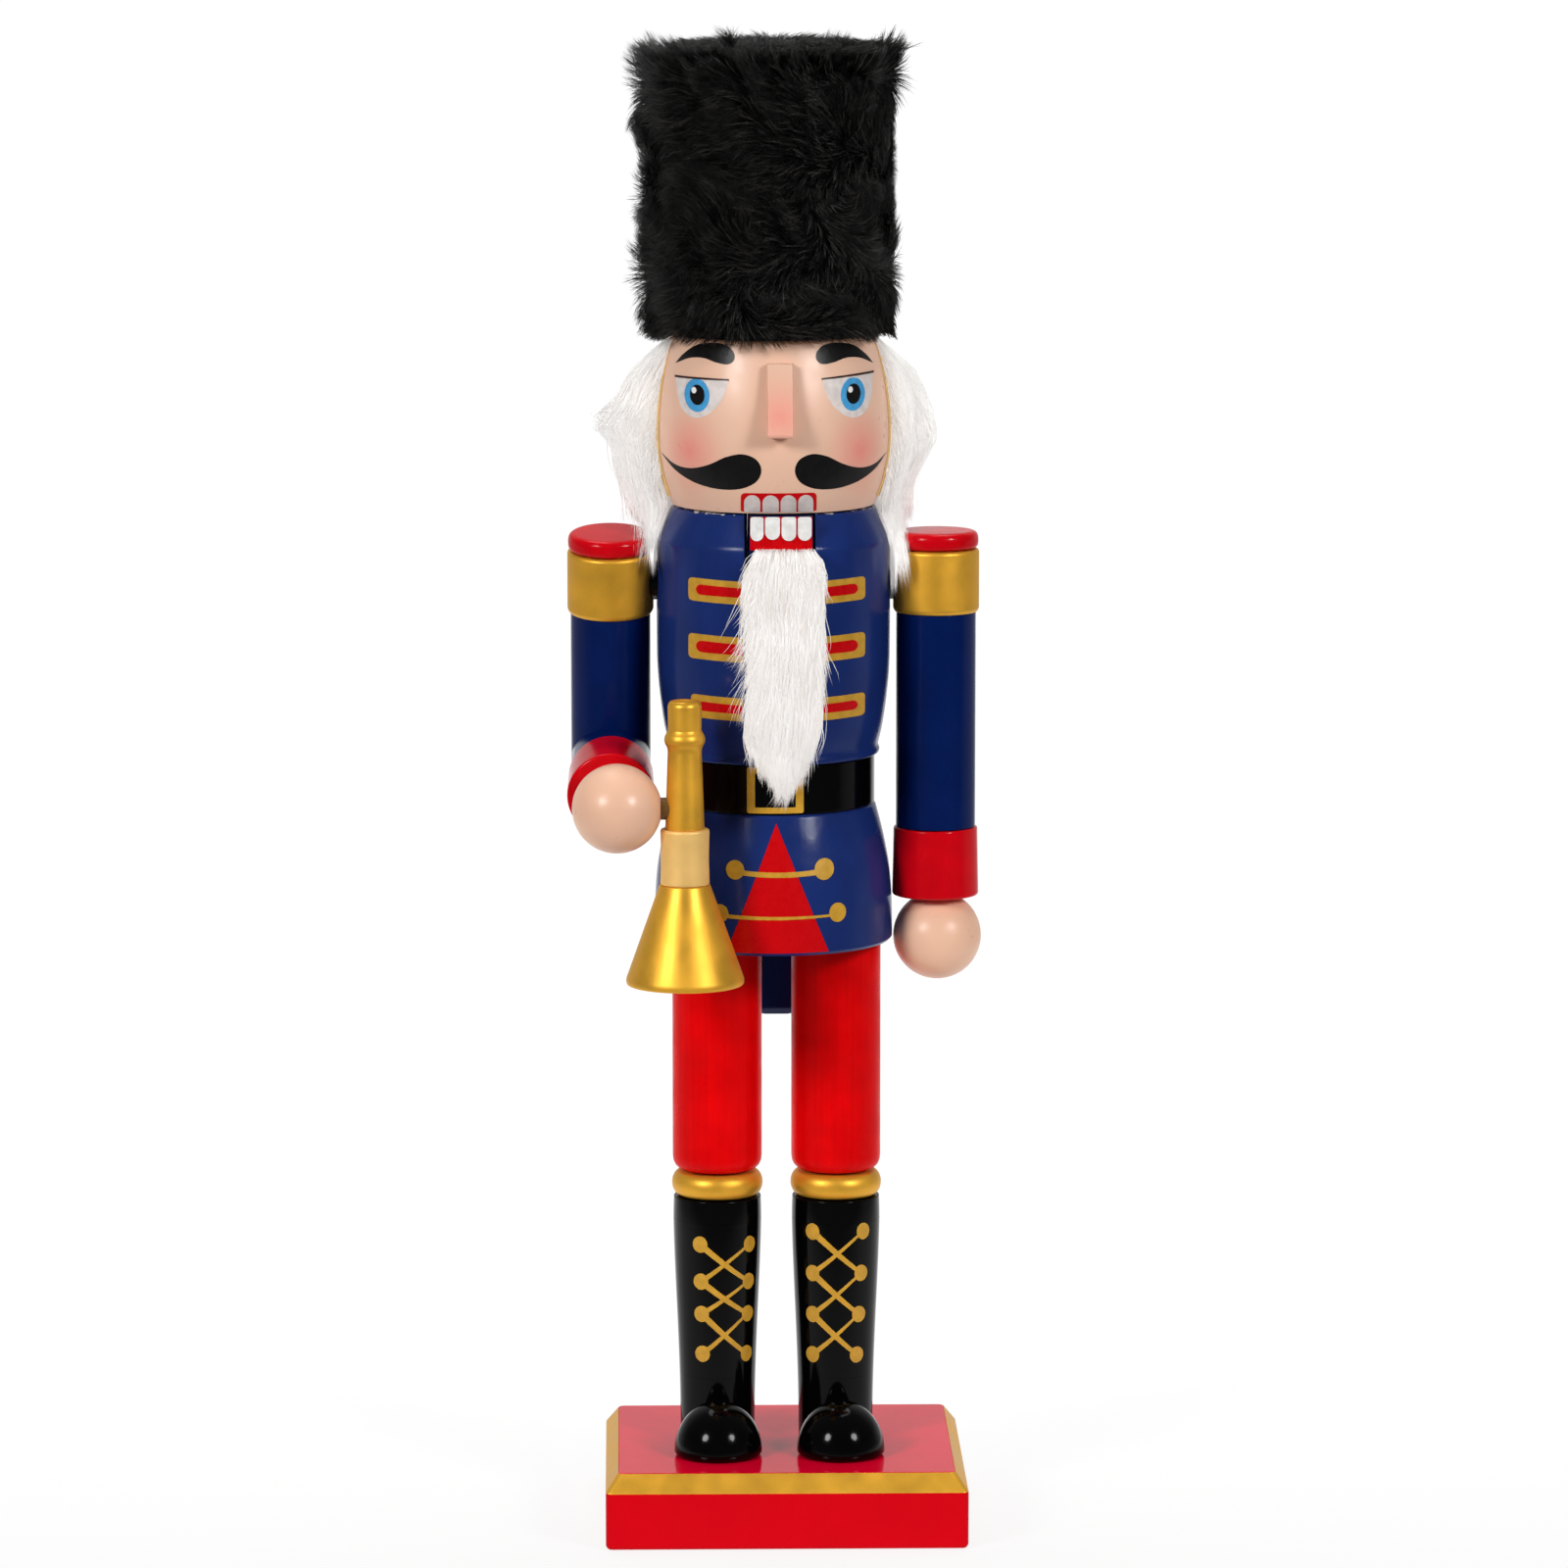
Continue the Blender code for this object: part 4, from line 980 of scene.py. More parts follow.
def make_arms(paints):
    turn_down, turn_forward = Matrix.Rotation(math.pi, 4, "X"), Matrix.Rotation(math.pi / 2, 4, "X")
    left = shoulder_frame("left_shoulder", 0.0)
    cuff_top = span("cuff_left")[1][2] - left.translation.z
    make_arm("left", "left_arm", left, cuff_top + 0.15, paints)
    cuff_and_hand("left", "left_arm", left @ Matrix.Translation((0, 0, cuff_top)) @ turn_down, paints)

    right = shoulder_frame("right_shoulder", RIGHT_ARM_TILT)
    make_arm("right", "right_arm", right, 0.0, paints)
    elbow = right @ Matrix.Translation((0, 0, -ELBOW_DROP)) @ turn_forward
    arm_piece("forearm_right", sized(TUBE, SLEEVE_RADIUS - 0.05, 0.5, FOREARM_LENGTH - 0.5), elbow,
              paints["sleeve"], "right_arm")
    cuff_and_hand("right", "right_arm", elbow @ Matrix.Translation((0, 0, FOREARM_LENGTH + 0.2)), paints)
    repaint(["shoulder_spacer_right", "shoulder_spacer_left"], paints["black"])
    repaint(["shoulder_peg_right", "shoulder_peg_left"], paints["wood"])


def make_horn(paints):
    bell_low, bell_high = span("horn_bell")
    centre = (bell_low[:2] + bell_high[:2]) / 2
    rim, foot, neck = (bell_high[0] - bell_low[0]) / 2, bell_low[2], bell_high[2] + 0.15
    ferrule_top = span("horn_ferrule")[1][2] + 0.15
    tube_top, top = span("horn_tube")[1][2], span("horn_mouthpiece")[1][2]
    dish = smooth_curve([(0, foot + 2.6), (5, foot + 2.4), (10.5, foot + 1.3), (rim - 1.4, foot + 0.05)], 4)
    cone = rounded([(rim - 1.4, foot + 0.05, 0), (rim - 0.2, foot, 0.5), (rim, foot + 1.3, 0.7),
                    (6.3, neck, 0.3), (0, neck, 0)])
    ferrule = [(0, neck, 0), (6.15, neck, 0.5), (5.95, (neck + ferrule_top) / 2, 4),
               (6.15, ferrule_top, 0.7), (0, ferrule_top, 0)]
    tube = [(0, ferrule_top, 0), (4.9, ferrule_top, 0.2), (4.2, tube_top - 4.4, 1.2),
            (5.1, tube_top - 3.2, 0.9), (5.1, tube_top - 1.6, 0.9), (4.4, tube_top - 0.6, 0.5),
            (4.2, tube_top, 0), (0, tube_top, 0)]
    mouthpiece = [(0, tube_top, 0), (4.2, tube_top, 0), (4.25, top - 0.6, 1.0), (3.4, top, 0.4),
                  (2.6, top - 0.4, 0), (0, top - 0.5, 0)]
    for node, profile, paint in (("horn_bell", np.vstack([dish, cone[1:]]), "gold"),
                                 ("horn_ferrule", rounded(ferrule), "pale_gold"),
                                 ("horn_tube", rounded(tube), "gold"),
                                 ("horn_mouthpiece", rounded(mouthpiece), "gold")):
        verts, faces = lathe(profile, 96, centre)
        add_piece(f"{node}_turned", verts, faces, paints[paint], "right_arm", [node])
    repaint(["horn_peg"], paints["peg"])


# ---------------------------------------------------------------- fur

def unit(vectors):
    return vectors / (np.linalg.norm(vectors, axis=-1, keepdims=True) + 1e-9)


def make_hat():
    """A fur tube with a crown: short black hairs in clumps that swirl, ragged at the foot."""
    low, high = span("hat_fur")
    core_top = span("hat_core")[1][2]
    foot, crown, root_radius = low[2], core_top + 0.8, 28.2
    count_side, count_top = 58000, 13000
    angle = RANDOM.uniform(0, 2 * math.pi, count_side)
    z = foot + 2.0 + (crown - foot - 2.0) * RANDOM.uniform(0, 1, count_side)
    side_out = np.stack([np.cos(angle), np.sin(angle), 0 * angle], 1)
    side_root = side_out * root_radius + np.array([0, 0, 1.0]) * z[:, None]
    reach = root_radius * np.sqrt(RANDOM.uniform(0, 1, count_top))
    turn = RANDOM.uniform(0, 2 * math.pi, count_top)
    top_root = np.stack([reach * np.cos(turn), reach * np.sin(turn), 0 * turn + crown], 1)
    slant = np.clip((reach - 20.0) / 8.2, 0, 1) ** 2
    top_out = unit(np.stack([np.cos(turn) * slant, np.sin(turn) * slant, 1.15 - 0.5 * slant], 1))
    roots, outward = np.vstack([side_root, top_root]), np.vstack([side_out, top_out])
    top = np.arange(len(roots)) >= count_side

    swirl, part, tuft = wave_field(RANDOM, 6, 10.0), wave_field(RANDOM, 6, 3.6), wave_field(RANDOM, 6, 5.5)
    down = np.array([0.0, 0.0, -1.0])
    sideways = unit(np.cross(outward, down + np.array([0.001, 0, 0])))
    fall = unit(np.cross(sideways, outward))
    share = np.clip((roots[:, 2] - foot) / (crown - foot), 0, 1)
    near_foot = np.clip(1 - share * 7.0, 0, 1)
    heading = (1.7 * swirl(roots) + 0.6 * part(roots)) * (1 - near_foot)
    heading = heading + 0.3 * RANDOM.normal(size=len(roots))
    lie = unit(fall * np.cos(heading)[:, None] + sideways * np.sin(heading)[:, None])
    rise = np.clip((share - 0.86) / 0.14, 0, 1)[:, None] * ~top[:, None]
    lie = unit(lie * (1 - rise) + (0.35 * outward + np.array([0, 0, 1.0])) * rise)
    lie[top] = unit(np.stack([np.cos(heading[top] * 1.6), np.sin(heading[top] * 1.6), 0 * heading[top]], 1))

    clumps = RANDOM.choice(len(roots), 3000, replace=False)
    owner = nearest(roots, roots[clumps])
    clump_size = RANDOM.uniform(0.82, 1.08, len(clumps))[owner]
    lean = -(1.1 + 2.3 * share) * outward[:, 0]
    stand = (5.0 + lean + 0.8 * tuft(roots)) * (1 - 0.3 * near_foot)
    stand[top] = 4.0 + 0.9 * tuft(roots[top])
    stand *= RANDOM.uniform(0.55, 1.06, len(roots)) * clump_size
    length = 5.6 + 1.2 * tuft(roots) + RANDOM.normal(0, 0.6, len(roots))
    length = np.clip(length, 2.5, 8.5) * (1 - 0.55 * near_foot)
    t = np.linspace(0, 1, 5)[None, :, None]
    paths = (roots[:, None] + outward[:, None] * stand[:, None, None] * (1.5 * t - 0.5 * t ** 2)
             + lie[:, None] * length[:, None, None] * (0.3 * t + 0.7 * t ** 2))
    pull = RANDOM.uniform(0.15, 0.55, len(roots))[:, None, None] * t ** 1.5
    paths = paths + (paths[clumps][owner] - paths) * pull
    spike = np.linalg.norm(roots - np.array([-10.0, -23.0, crown]), axis=1) < 2.2
    paths[spike] += np.array([-1.5, 0.0, 4.6]) * t[0] ** 1.2
    ragged = 0.55 + 0.6 * part(roots * (1, 1, 0)) + RANDOM.normal(0, 0.35, len(roots))
    fringe = foot + 0.9 - 1.5 * np.clip(ragged, -0.3, 1.7)
    fringe += 1.8 * np.clip((roots[:, 0] - 22.0) / 4.0, 0, 1)
    fringe += 0.8 * np.clip((-roots[:, 0] - 24.0) / 4.0, 0, 1)
    paths[..., 2] = np.clip(paths[..., 2], fringe[:, None] - 0.5 * t[..., 0], high[2] + 6.5)
    tones = [fibre("black_fur_deep", (0.0012, 0.0012, 0.0013), 0.38),
             fibre("black_fur_mid", (0.005, 0.0048, 0.0045), 0.34),
             fibre("black_fur_light", (0.05, 0.048, 0.042), 0.3)]
    tone = RANDOM.choice(3, len(roots), p=[0.52, 0.38, 0.1])
    thick = RANDOM.uniform(0.06, 0.11, len(roots)) * np.array([1.0, 1.1, 1.7])[tone]
    strands("hat_pile", paths, thick, tones, "figure", tone, ["hat_fur"])

    inner, outer = root_radius - 0.4, root_radius + 0.1
    tube = [(0, crown - 0.5), (inner, crown - 0.5), (inner, foot + 1.6), (outer, foot + 1.6),
            (outer, crown - 0.4), (outer - 0.5, crown + 0.1), (0, crown + 0.1)]
    verts, faces = lathe(tube, 96)
    backing = lacquer("hat_backing_cloth", (0.0015, 0.0015, 0.0015), 0.8, 0.05)
    add_piece("hat_backing", verts, faces, backing, "figure", ["hat_fur"])
    repaint(["hat_core", "hat_dowel"], PAINTS["wood"])


def nearest(points, centres, batch=4000):
    """For each point, which centre is nearest."""
    out = np.empty(len(points), int)
    for i in range(0, len(points), batch):
        chunk = points[i:i + batch]
        gap = (chunk ** 2).sum(1)[:, None] - 2 * chunk @ centres.T + (centres ** 2).sum(1)[None]
        out[i:i + batch] = gap.argmin(1)
    return out


# Three tones of white fur, each with a faint glow: painted light standing for light scattered through the
# fibres
def glowing_white_tones():
    tones = []
    for name, colour in (("bright", (0.96, 0.95, 0.935)), ("soft", (0.9, 0.88, 0.865)),
                         ("shade", (0.84, 0.8, 0.775))):
        tone = fibre(f"glowing_white_fur_{name}", colour, 0.6)
        shader = tone.node_tree.nodes["Principled BSDF"]
        shader.inputs["Emission Color"].default_value = (*colour, 1)
        shader.inputs["Emission Strength"].default_value = 0.21      # painted light: a faint glow that stands in for light scattered through the fibres
        tones.append(tone)
    return tones


def wiggle(paths, rng, size, turns):
    """A slow random wave along each hair that grows from its root."""
    count, steps, _ = paths.shape
    t = np.linspace(0, 1, steps)[None, :, None]
    phase, swing = rng.uniform(0, 2 * math.pi, (count, 1, 3)), rng.normal(0, size, (count, 1, 3))
    return paths + swing * np.sin(2 * math.pi * turns * t + phase) * t ** 0.7


HAIR_REACH = ((243, 1.2), (247, 1.6), (253, 2.8), (257, 4.6), (264, 7.0), (270, 9.6), (276, 11.2),
              (282, 12.2), (288, 11.8), (293, 10.3), (297, 7.8), (301.5, 3.2), (304, 1.2))
HAIR_INNER = 30.35


def make_hair(paints, tones):
    """Long soft hair round the sides and back of the head, puffed out and falling to the shoulders."""
    low, high = span("hair_strip")
    arm_high = span("shoulder_cap_left")[1]
    start = math.radians(76.0)
    count, steps = 18000, 10
    wild, puff = wave_field(RANDOM, 6, 7.0), wave_field(RANDOM, 6, 4.5)
    angle = RANDOM.uniform(start, 2 * math.pi - start, count)
    extra = 3600                   # more hairs beside the face
    side = np.where(RANDOM.uniform(0, 1, extra) < 0.5, 1, -1)
    angle[:extra] = side * (start + math.radians(9) * RANDOM.uniform(0, 1, extra) ** 1.5)
    z = high[2] + 0.6 - 34.0 * RANDOM.uniform(0, 1, count) ** 1.35
    outward = np.stack([np.sin(angle), -np.cos(angle), 0 * angle], 1)
    aside = np.stack([np.cos(angle), np.sin(angle), 0 * angle], 1)
    from_face = np.degrees(np.arccos(np.clip(-outward[:, 1], -1, 1)))
    over_arm = np.clip(1 - np.abs(from_face - 97.0) / 15.0, 0, 1) ** 0.35
    frontal = np.clip(1 - (from_face - 76.0) / 8.0, 0, 1)
    layer = RANDOM.uniform(0.04, 1, count) ** 0.8
    ends = 243.0 + 3.0 * RANDOM.uniform(-1, 1, count)
    ends = ends + 11 * layer * RANDOM.uniform(0.3, 1.2, count) + 3.2 * wild(outward * 40)
    ends = np.where(from_face > 105, ends + 1.5, ends) - 2.0 * frontal
    ends = np.maximum(ends, (arm_high[2] + 2.0) * (over_arm > 0.3))
    ends = np.minimum(ends, z - 7)
    t = np.linspace(0, 1, steps)
    heights = z[:, None] - (z - ends)[:, None] * t[None] ** 1.12
    knots = np.array(HAIR_REACH)
    lift = np.interp(heights, knots[:, 0], knots[:, 1])
    grow = 1 - np.exp(-5.5 * t)[None]
    rough = 1 + 0.16 * puff(outward * 34 + np.array([0, 0, 1.0]) * z[:, None])[:, None]
    tuft_left = 6.2 * np.exp(-((heights - 281.5) / 2.2) ** 2) * (outward[:, :1] < -0.85)
    tuft_right = -np.interp(heights, (254, 258, 264, 270, 277, 284, 296),
                            (2.2, 3.4, 4.6, 4.4, 2.5, 2.4, 0.8)) * (outward[:, :1] > 0.5)
    under = body_radius(heights) + 0.35
    reach = np.maximum(HAIR_INNER + 0.2 + lift + tuft_left * (layer > 0.72)[:, None] + tuft_right,
                       under + 0.8)
    radius = under + layer[:, None] * (reach - under) * grow * rough * (1 - 0.4 * frontal)[:, None]
    drift = (2.6 * wild(outward * 22 + np.array([0, 0, 0.7]) * z[:, None])
             + RANDOM.normal(0, 0.9, count))[:, None] * t[None] ** 1.5
    forward = frontal[:, None] * np.clip((262 - heights) / 8, 0, 1) * 3.0
    paths = (outward[:, None] * radius[..., None] + aside[:, None] * drift[..., None] * np.array([1, 1, 0])
             + np.array([0, 0, 1.0]) * heights[..., None] + np.array([0, -1.0, 0]) * forward[..., None])
    clumps = RANDOM.choice(count, 700, replace=False)
    owner = nearest(paths[:, 4], paths[clumps, 4])
    pull = RANDOM.uniform(0.25, 0.8, count)[:, None, None] * t[None, :, None] ** 1.6
    paths = paths + (paths[clumps][owner] - paths) * pull
    flick = (RANDOM.uniform(0, 1, len(clumps)) < 0.1)[owner] & (layer > 0.45)
    kick = RANDOM.uniform(1.0, 4.0, flick.sum())[:, None] * t[None] ** 2.4
    paths[flick] += outward[flick][:, None] * kick[..., None]
    paths = wiggle(paths, RANDOM, 0.35, 1.3)
    clear_of_body(paths, arm_high[2])
    tone = RANDOM.choice(3, count, p=[0.58, 0.32, 0.1])
    thick = RANDOM.uniform(0.055, 0.095, count) * np.array([1.0, 1.2, 1.6])[tone]
    strands("hair_pile", paths, thick, tones, "figure", tone, ["hair_strip"])
    make_hair_pad(low, high, start, tones[1])
    make_hair_tape(high, start, paints)


def clear_of_body(paths, cap_top):
    """Push hairs out of the head and the jacket, and in front of or behind the shoulders."""
    x, y, z = paths[..., 0], paths[..., 1], paths[..., 2]
    reach = np.hypot(x, y)
    push = np.maximum((body_radius(z) + 0.3) / np.maximum(reach, 1e-6), 1.0)
    paths[..., 0], paths[..., 1] = x * push, y * push
    beside = (np.abs(paths[..., 0]) > 30.3) & (np.abs(paths[..., 1]) < 12.2)
    over = beside & (z > cap_top - 4) & (z < cap_top + 0.6)
    paths[..., 2] = np.where(over, cap_top + 0.6, z)
    deep = beside & (z <= cap_top - 4)
    paths[..., 1] = np.where(deep, np.where(paths[..., 1] > 0, 12.2, -12.2), paths[..., 1])


def make_hair_pad(low, high, start, paint):
    """The backing under the long hair."""
    heights = np.linspace(high[2] - 0.5, low[2] + 5, 12)
    inner = [(float(body_radius(z)) + 0.08, z) for z in heights]
    outer = [(float(body_radius(z)) + 0.3 + 3.6 * math.sin(math.pi * (i + 0.4) / 12.2) ** 0.8, z)
             for i, z in enumerate(heights)][::-1]
    section = inner + outer
    verts, faces, steps, count = [], [], 60, len(section)
    for i in range(steps + 1):
        angle = start + 0.06 + (2 * math.pi - 2 * start - 0.12) * i / steps
        taper = min(1.0, 0.1 + 5.0 * min(i, steps - i) / steps)
        for k, (radius, z) in enumerate(section):
            near = float(body_radius(z)) + 0.08
            r = near + (radius - near) * taper
            verts.append((r * math.sin(angle), -r * math.cos(angle), z))
    for i in range(steps):
        for k in range(count):
            a, b = i * count + k, i * count + (k + 1) % count
            faces.append((a, b, b + count, a + count))
    faces += [tuple(range(count))[::-1], tuple(range(steps * count, steps * count + count))]
    add_piece("hair_pad", verts, faces, paint, "figure", ["hair_strip"])


def make_hair_tape(high, start, paints):
    """The tan edge of the backing, beside the face."""
    for side_name, side in SIDES:
        line = smooth_curve([(0.02, 263.5), (0.0, 272.0), (-0.01, 282.0), (0.0, 292.0),
                             (0.03, high[2] - 0.2)], 6)
        ring = []
        for shift, z in line:
            radius = 30.0 - head_inset(z)
            for a, r in ((start - 0.022, radius), (start - 0.018, radius + 0.3),
                         (start + 0.05, radius + 0.5), (start + 0.05, radius)):
                ring.append((side * r * math.sin(a + shift), -r * math.cos(a + shift), z))
        quads = [(4 * i + k, 4 * i + (k + 1) % 4, 4 * i + 4 + (k + 1) % 4, 4 * i + 4 + k)
                 for i in range(len(line) - 1) for k in range(4)]
        quads += [(3, 2, 1, 0), tuple(4 * (len(line) - 1) + k for k in range(4))]
        quads = quads if side > 0 else [q[::-1] for q in quads]
        add_piece(f"hair_tape_{side_name}", ring, quads, paints["tan"], "figure")


def head_inset(z):
    """How much narrower than its widest the barrel head is at a height."""
    reach = 19.0 if z < 280.0 else 24.2
    return 4.5 * ((z - 280.0) / reach) ** 2


def body_radius(z):
    """The radius of the head and of the jacket under the hair at some heights."""
    z = np.asarray(z, float)
    head = 30.0 - 4.5 * ((z - 280.0) / np.where(z < 280.0, 19.2, 24.2)) ** 2
    jacket = 29.6 - 4.0 * np.clip((z - 252.6) / 8.2, 0, 1)
    return np.where(z > 261.0, head, jacket)


BEARD_HEIGHTS = (184, 187.5, 191, 195, 199, 203, 207, 212, 220, 228, 240, 246, 251, 252.9)
BEARD_LEFT = (0.1, -0.3, -1.0, -2.2, -3.8, -5.4, -7.2, -7.2, -6.2, -6.0, -7.2, -7.4, -7.0, -6.0)
BEARD_RIGHT = (0.9, 1.8, 3.4, 4.8, 6.2, 8.0, 9.8, 11.0, 11.2, 11.2, 12.3, 12.4, 11.9, 10.6)
BEARD_BACKS = (-35.4, -35.4, -35.2, -34.9, -34.6, -34.3, -34.0, -33.7, -33.2, -32.2, -30.6, -29.7, -29.2,
               -28.9)


def beard_edges(z):
    """The middle and the half width of the beard at some heights."""
    left, right = np.interp(z, BEARD_HEIGHTS, BEARD_LEFT), np.interp(z, BEARD_HEIGHTS, BEARD_RIGHT)
    return (left + right) / 2, (right - left) / 2


def make_beard(tones):
    """Fluffy fur hanging from the jaw: as wide as the jaw, then a wispy point on the belt."""
    low, high = span("beard")
    top, tip = high[2], low[2]
    count, steps = 12500, 8
    wave, fan = wave_field(RANDOM, 6, 5.0), wave_field(RANDOM, 6, 8.0)
    z = top + 0.2 - 50.0 * RANDOM.uniform(0, 1, count) ** 1.1
    across = RANDOM.uniform(-1, 1, count)
    middle, half = beard_edges(z)
    x = middle + across * half * 0.88
    layer = RANDOM.uniform(0, 1, count)
    y = np.interp(z, BEARD_HEIGHTS, BEARD_BACKS) - 0.1 - 2.2 * layer * (1 - across ** 2)
    roots = np.stack([x, y, z], 1)
    length = np.clip(15 + 4 * fan(roots) + RANDOM.normal(0, 2.5, count), 6, 26)
    length = length * np.interp(z, [200, 215, 252], [0.75, 1.0, 0.8])
    ends = np.maximum(z - length, tip - 5.5 + 9.0 * np.abs(across) ** 1.2
                      + RANDOM.uniform(0, 6.0, count) ** 1.3)
    ends = np.minimum(ends, z - 3)
    t = np.linspace(0, 1, steps)
    heights = z[:, None] - (z - ends)[:, None] * t[None]
    low_middle, low_half = beard_edges(heights)
    spread = low_half * across[:, None] + low_middle
    spread = x[:, None] + (spread - x[:, None]) * np.minimum(2.2 * t, 1)[None]
    sway = 1.1 * wave(roots * 0.9) + RANDOM.normal(0, 0.5, count)
    spread = spread + sway[:, None] * t[None] ** 1.3
    rise = (2.6 + 0.8 * fan(roots * 1.4) + RANDOM.normal(0, 0.5, count)) * (1 - 0.45 * across ** 2)
    forward = np.clip(y - np.interp(z, BEARD_HEIGHTS, BEARD_BACKS), -3, 0)
    depth = np.interp(heights, BEARD_HEIGHTS, BEARD_BACKS) - 0.2 + 0.9 * forward[:, None]
    depth = depth - rise[:, None] * np.sin(np.pi * np.clip(t * 0.9 + 0.02, 0, 1))[None] ** 0.8
    paths = np.stack([spread, depth, heights], 2)
    wisp = (RANDOM.uniform(0, 1, count) < 0.1) & (across < -0.55) & (z < 248) & (z > 226)
    reach = np.array([-6.5, -0.8, 1.0]) * RANDOM.uniform(0.2, 1.3, (wisp.sum(), 1, 1))
    paths[wisp] += reach * t[None, :, None] ** 1.3
    stray = RANDOM.uniform(0, 1, count) < 0.11
    reach = RANDOM.normal(0, 2.6, (stray.sum(), 1, 3)) * np.array([1.0, 0.5, 0.3])
    paths[stray] += reach * t[None, :, None] ** 1.8
    clumps = RANDOM.choice(count, 600, replace=False)
    owner = nearest(roots, roots[clumps])
    pull = RANDOM.uniform(0.2, 0.8, count)[:, None, None] * t[None, :, None] ** 1.5
    paths = paths + (paths[clumps][owner] - paths) * pull
    paths = wiggle(paths, RANDOM, 0.3, 1.2)
    paths[..., 1] = np.minimum(paths[..., 1], np.interp(paths[..., 2], BEARD_HEIGHTS, BEARD_BACKS) - 0.05)
    edge = np.clip((np.abs(across) - 0.6) / 0.4, 0, 1) ** 2
    paths += (across * edge)[:, None, None] * np.array([1.3, 0, 0]) * t[None, :, None] ** 1.5
    tone = RANDOM.choice(3, count, p=[0.3, 0.42, 0.28])
    thick = RANDOM.uniform(0.055, 0.1, count) * np.array([1.0, 1.2, 1.6])[tone]
    strands("beard_pile", paths, thick, tones, "jaw", tone, ["beard"])
    make_beard_pad(top, tones[0])


def make_beard_pad(top, paint):
    """The pad under the beard's hairs."""
    rings, sides = [], 20
    for z in (top - 0.8, 246, 236, 226, 216, 206, 199):
        middle, half = beard_edges(z)
        back = np.interp(z, BEARD_HEIGHTS, BEARD_BACKS) - 0.1
        deep = 1.5 if 200 < z < top - 2 else 0.8
        turns = [2 * math.pi * i / sides for i in range(sides)]
        rings.append([(middle + 0.78 * half * math.cos(a), back - deep / 2 - deep / 2 * math.sin(a), z)
                      for a in turns])
    verts = [p for ring in rings for p in ring]
    faces = [(sides * r + k, sides * r + (k + 1) % sides, sides * (r + 1) + (k + 1) % sides,
              sides * (r + 1) + k)
             for r in range(len(rings) - 1) for k in range(sides)]
    faces += [tuple(range(sides))[::-1], tuple(range(sides * (len(rings) - 1), sides * len(rings)))]
    add_piece("beard_pad", verts, faces, paint, "jaw", ["beard"])


# ---------------------------------------------------------------- studio

def make_studio():
    low, high = span("base_block")
    middle = (low + high) / 2 * MM
    azimuth = math.radians(CAMERA_AZIMUTH)
    camera = bpy.data.objects.new("camera", bpy.data.cameras.new("camera"))
    camera.data.lens, camera.data.sensor_width = CAMERA_LENS, 36.0
    camera.location = (middle[0] - CAMERA_DISTANCE * math.sin(azimuth),
                       middle[1] - CAMERA_DISTANCE * math.cos(azimuth), CAMERA_HEIGHT)
    camera.rotation_euler = (math.radians(90 - CAMERA_PITCH), 0.0, -azimuth)
    bpy.context.scene.collection.objects.link(camera)
    bpy.context.scene.camera = camera

    for name, place, size, power in (("key_left", (-1.05, -1.2, 0.92), 0.45, 17.5),
                                     ("key_right", (1.05, -1.2, 0.92), 0.45, 15.5),
                                     ("top_fill", (0.0, 0.45, 1.8), 1.3, 14.0)):
        lamp = bpy.data.lights.new(name, "AREA")
        lamp.shape, lamp.size, lamp.energy = "DISK", size, power
        light = bpy.data.objects.new(name, lamp)
        light.location = place
        aim = Vector((0, 0, 0.2)) - Vector(place)
        light.rotation_euler = aim.to_track_quat("-Z", "Y").to_euler()
        bpy.context.scene.collection.objects.link(light)
    make_world()
    make_floor()
    bpy.context.scene.view_settings.view_transform = "Standard"


def make_world():
    """A tent: pale low down, greyer above the horizon and in front, light again overhead."""
    world = bpy.data.worlds.new("studio")
    world.use_nodes = True
    tree = world.node_tree
    place = tree.nodes.new("ShaderNodeTexCoord")
    split = tree.nodes.new("ShaderNodeSeparateXYZ")
    tree.links.new(place.outputs["Generated"], split.inputs[0])
    levels = ramp(tree, split.outputs[2], -1, 1, ((0.5, 0.7), (0.53, 0.7), (0.56, 0.6), (0.61, 0.55),
                                                  (0.66, 0.4), (0.75, 0.5), (1.0, 0.7)))
    front = ramp(tree, split.outputs[1], -1, 1, ((0.1, 0.16), (0.62, 0.3), (0.86, 1.0)))
    product = tree.nodes.new("ShaderNodeMath")
    product.operation = "MULTIPLY"
    tree.links.new(levels, product.inputs[0])
    tree.links.new(front, product.inputs[1])
    tree.links.new(product.outputs[0], tree.nodes["Background"].inputs["Color"])
    tree.nodes["Background"].inputs["Strength"].default_value = 1.0
    bpy.context.scene.world = world


def ramp(tree, value, low, high, stops):
    """A grey level read from (share of the range, level) stops."""
    scale = tree.nodes.new("ShaderNodeMapRange")
    scale.inputs["From Min"].default_value, scale.inputs["From Max"].default_value = low, high
    tree.links.new(value, scale.inputs[0])
    node = tree.nodes.new("ShaderNodeValToRGB")
    elements = node.color_ramp.elements
    while len(elements) < len(stops):
        elements.new(0.5)
    for element, (place, level) in zip(elements, stops):
        element.position = place
        element.color = (level, level, level, 1)
    tree.links.new(scale.outputs[0], node.inputs[0])
    return node.outputs[0]


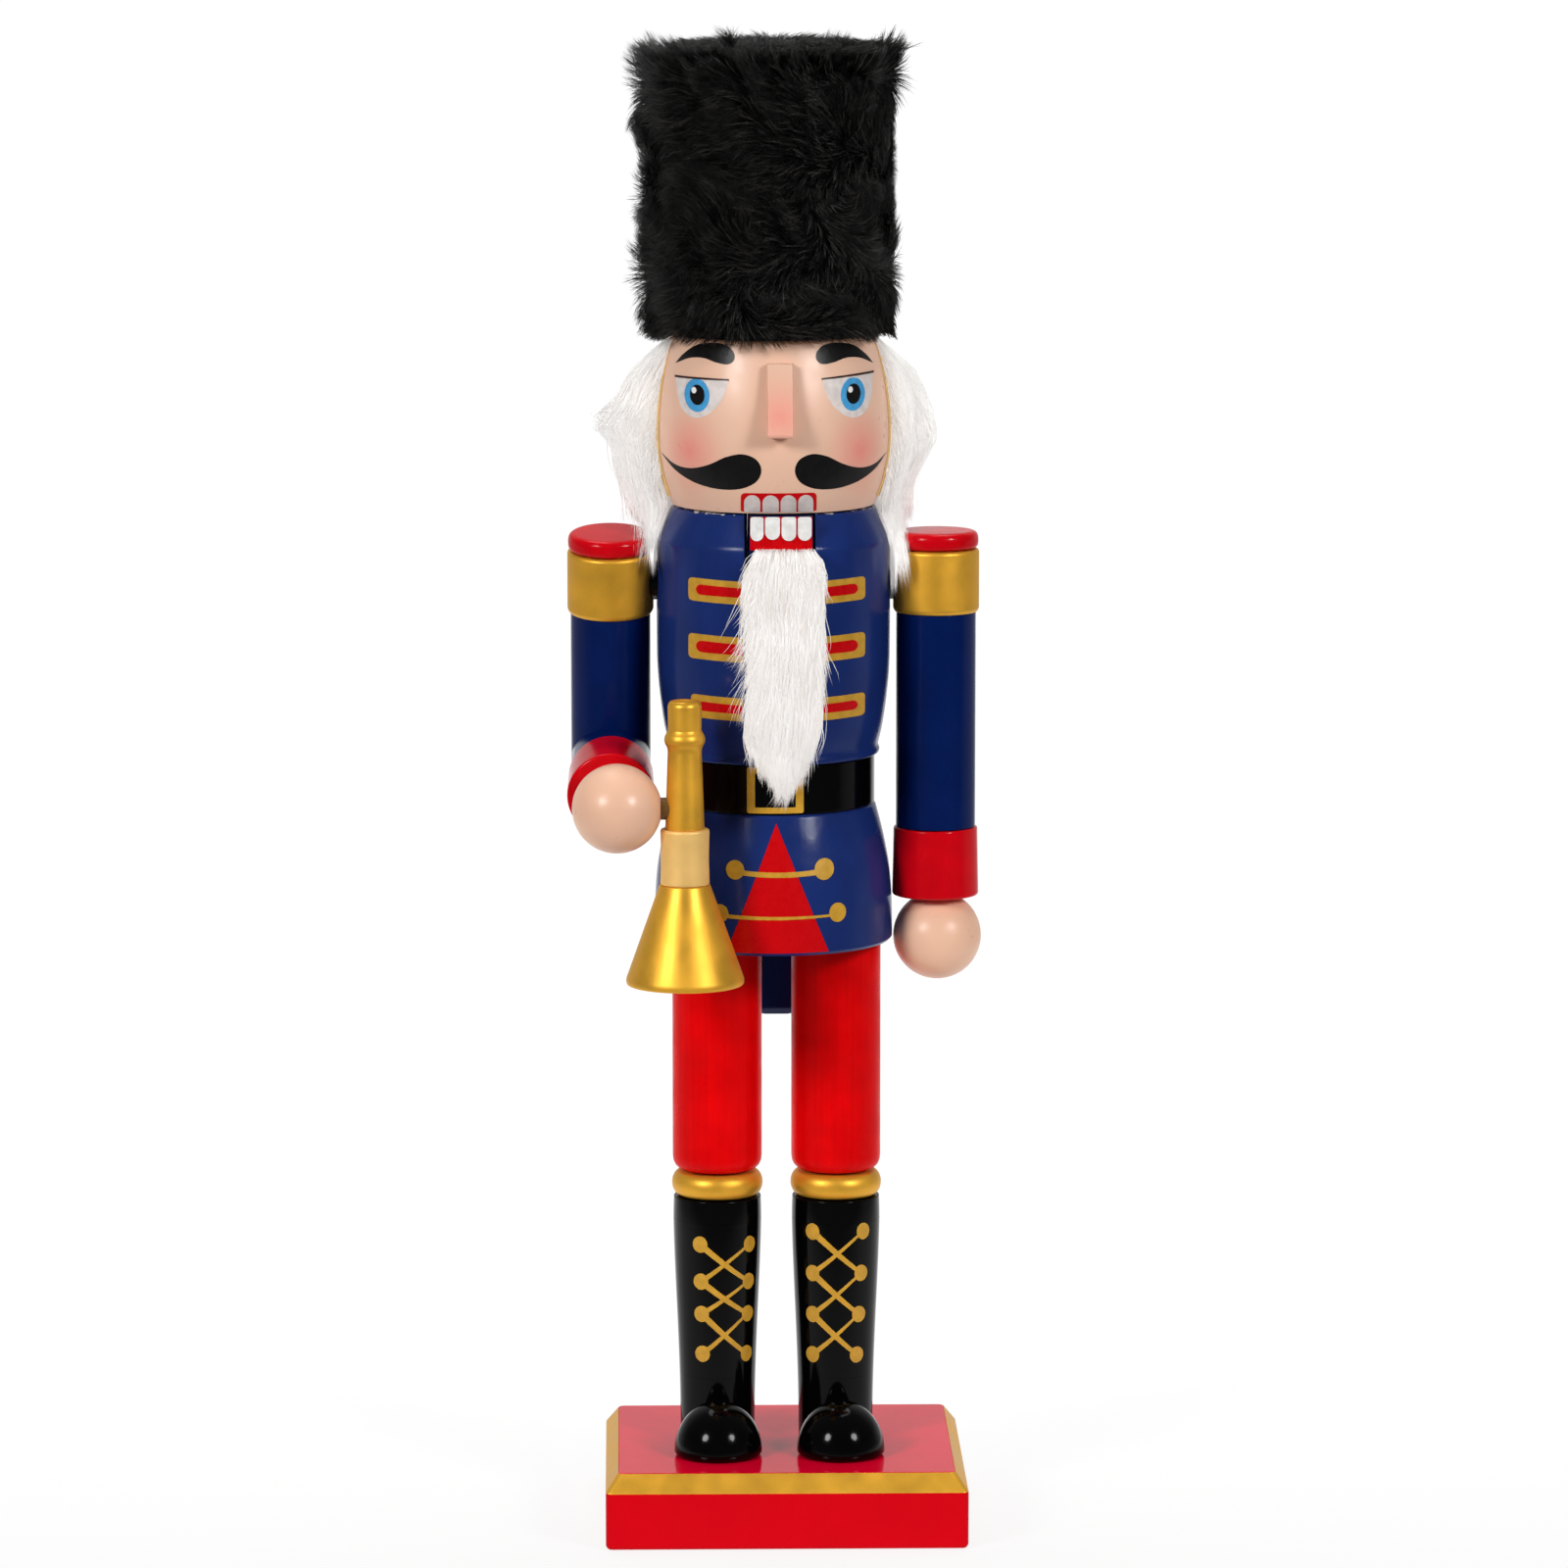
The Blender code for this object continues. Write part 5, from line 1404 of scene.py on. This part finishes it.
def make_floor():
    """A pale floor that glows under and behind the figure, and is dim in front and far to the sides."""
    mesh = bpy.data.meshes.new("floor")
    mesh.from_pydata([(-12, -12, 0), (12, -12, 0), (12, 12, 0), (-12, 12, 0)], [], [(0, 1, 2, 3)])
    floor = bpy.data.objects.new("floor", mesh)
    floor.location.z = -0.0002
    paint = bpy.data.materials.new("floor")
    paint.use_nodes = True
    tree = paint.node_tree
    shader = tree.nodes["Principled BSDF"]
    shader.inputs["Base Color"].default_value = (0.12, 0.12, 0.12, 1)
    shader.inputs["Roughness"].default_value = 0.95
    shader.inputs["Specular IOR Level"].default_value = 0.1
    shader.inputs["Emission Color"].default_value = (1, 1, 1, 1)
    place = tree.nodes.new("ShaderNodeTexCoord")
    split = tree.nodes.new("ShaderNodeSeparateXYZ")
    tree.links.new(place.outputs["Object"], split.inputs[0])
    aside, limit, share = (tree.nodes.new("ShaderNodeMath") for _ in range(3))
    aside.operation, limit.operation, share.operation = "ABSOLUTE", "MULTIPLY_ADD", "DIVIDE"
    tree.links.new(split.outputs[0], aside.inputs[0])
    tree.links.new(split.outputs[1], limit.inputs[0])
    limit.inputs[1].default_value, limit.inputs[2].default_value = 0.13, 0.31
    tree.links.new(aside.outputs[0], share.inputs[0])
    tree.links.new(limit.outputs[0], share.inputs[1])
    lit = tree.nodes.new("ShaderNodeMath")
    lit.operation = "MULTIPLY"
    tree.links.new(ramp(tree, share.outputs[0], 0, 4, ((0.25, 1.0), (0.4, 0.4))), lit.inputs[0])
    tree.links.new(lit.outputs[0], shader.inputs["Emission Strength"])
    tree.links.new(ramp(tree, split.outputs[1], -0.7, 1.4,
                        ((0.0, 0.03), (0.2, 0.05), (0.292, 0.83), (0.42, 0.9), (1.0, 0.99))), lit.inputs[1])
    mesh.materials.append(paint)
    bpy.context.scene.collection.objects.link(floor)


# ---------------------------------------------------------------- everything

make_studio()
PAINTS = make_paints()
make_base(PAINTS)
for leg_name, _ in SIDES:
    make_leg(leg_name, PAINTS)
make_torso(PAINTS)
make_jaw(PAINTS)
make_head(PAINTS)
make_arms(PAINTS)
make_horn(PAINTS)
make_hat()
GLOWING_WHITE = glowing_white_tones()
make_hair(PAINTS, GLOWING_WHITE)
make_beard(GLOWING_WHITE)
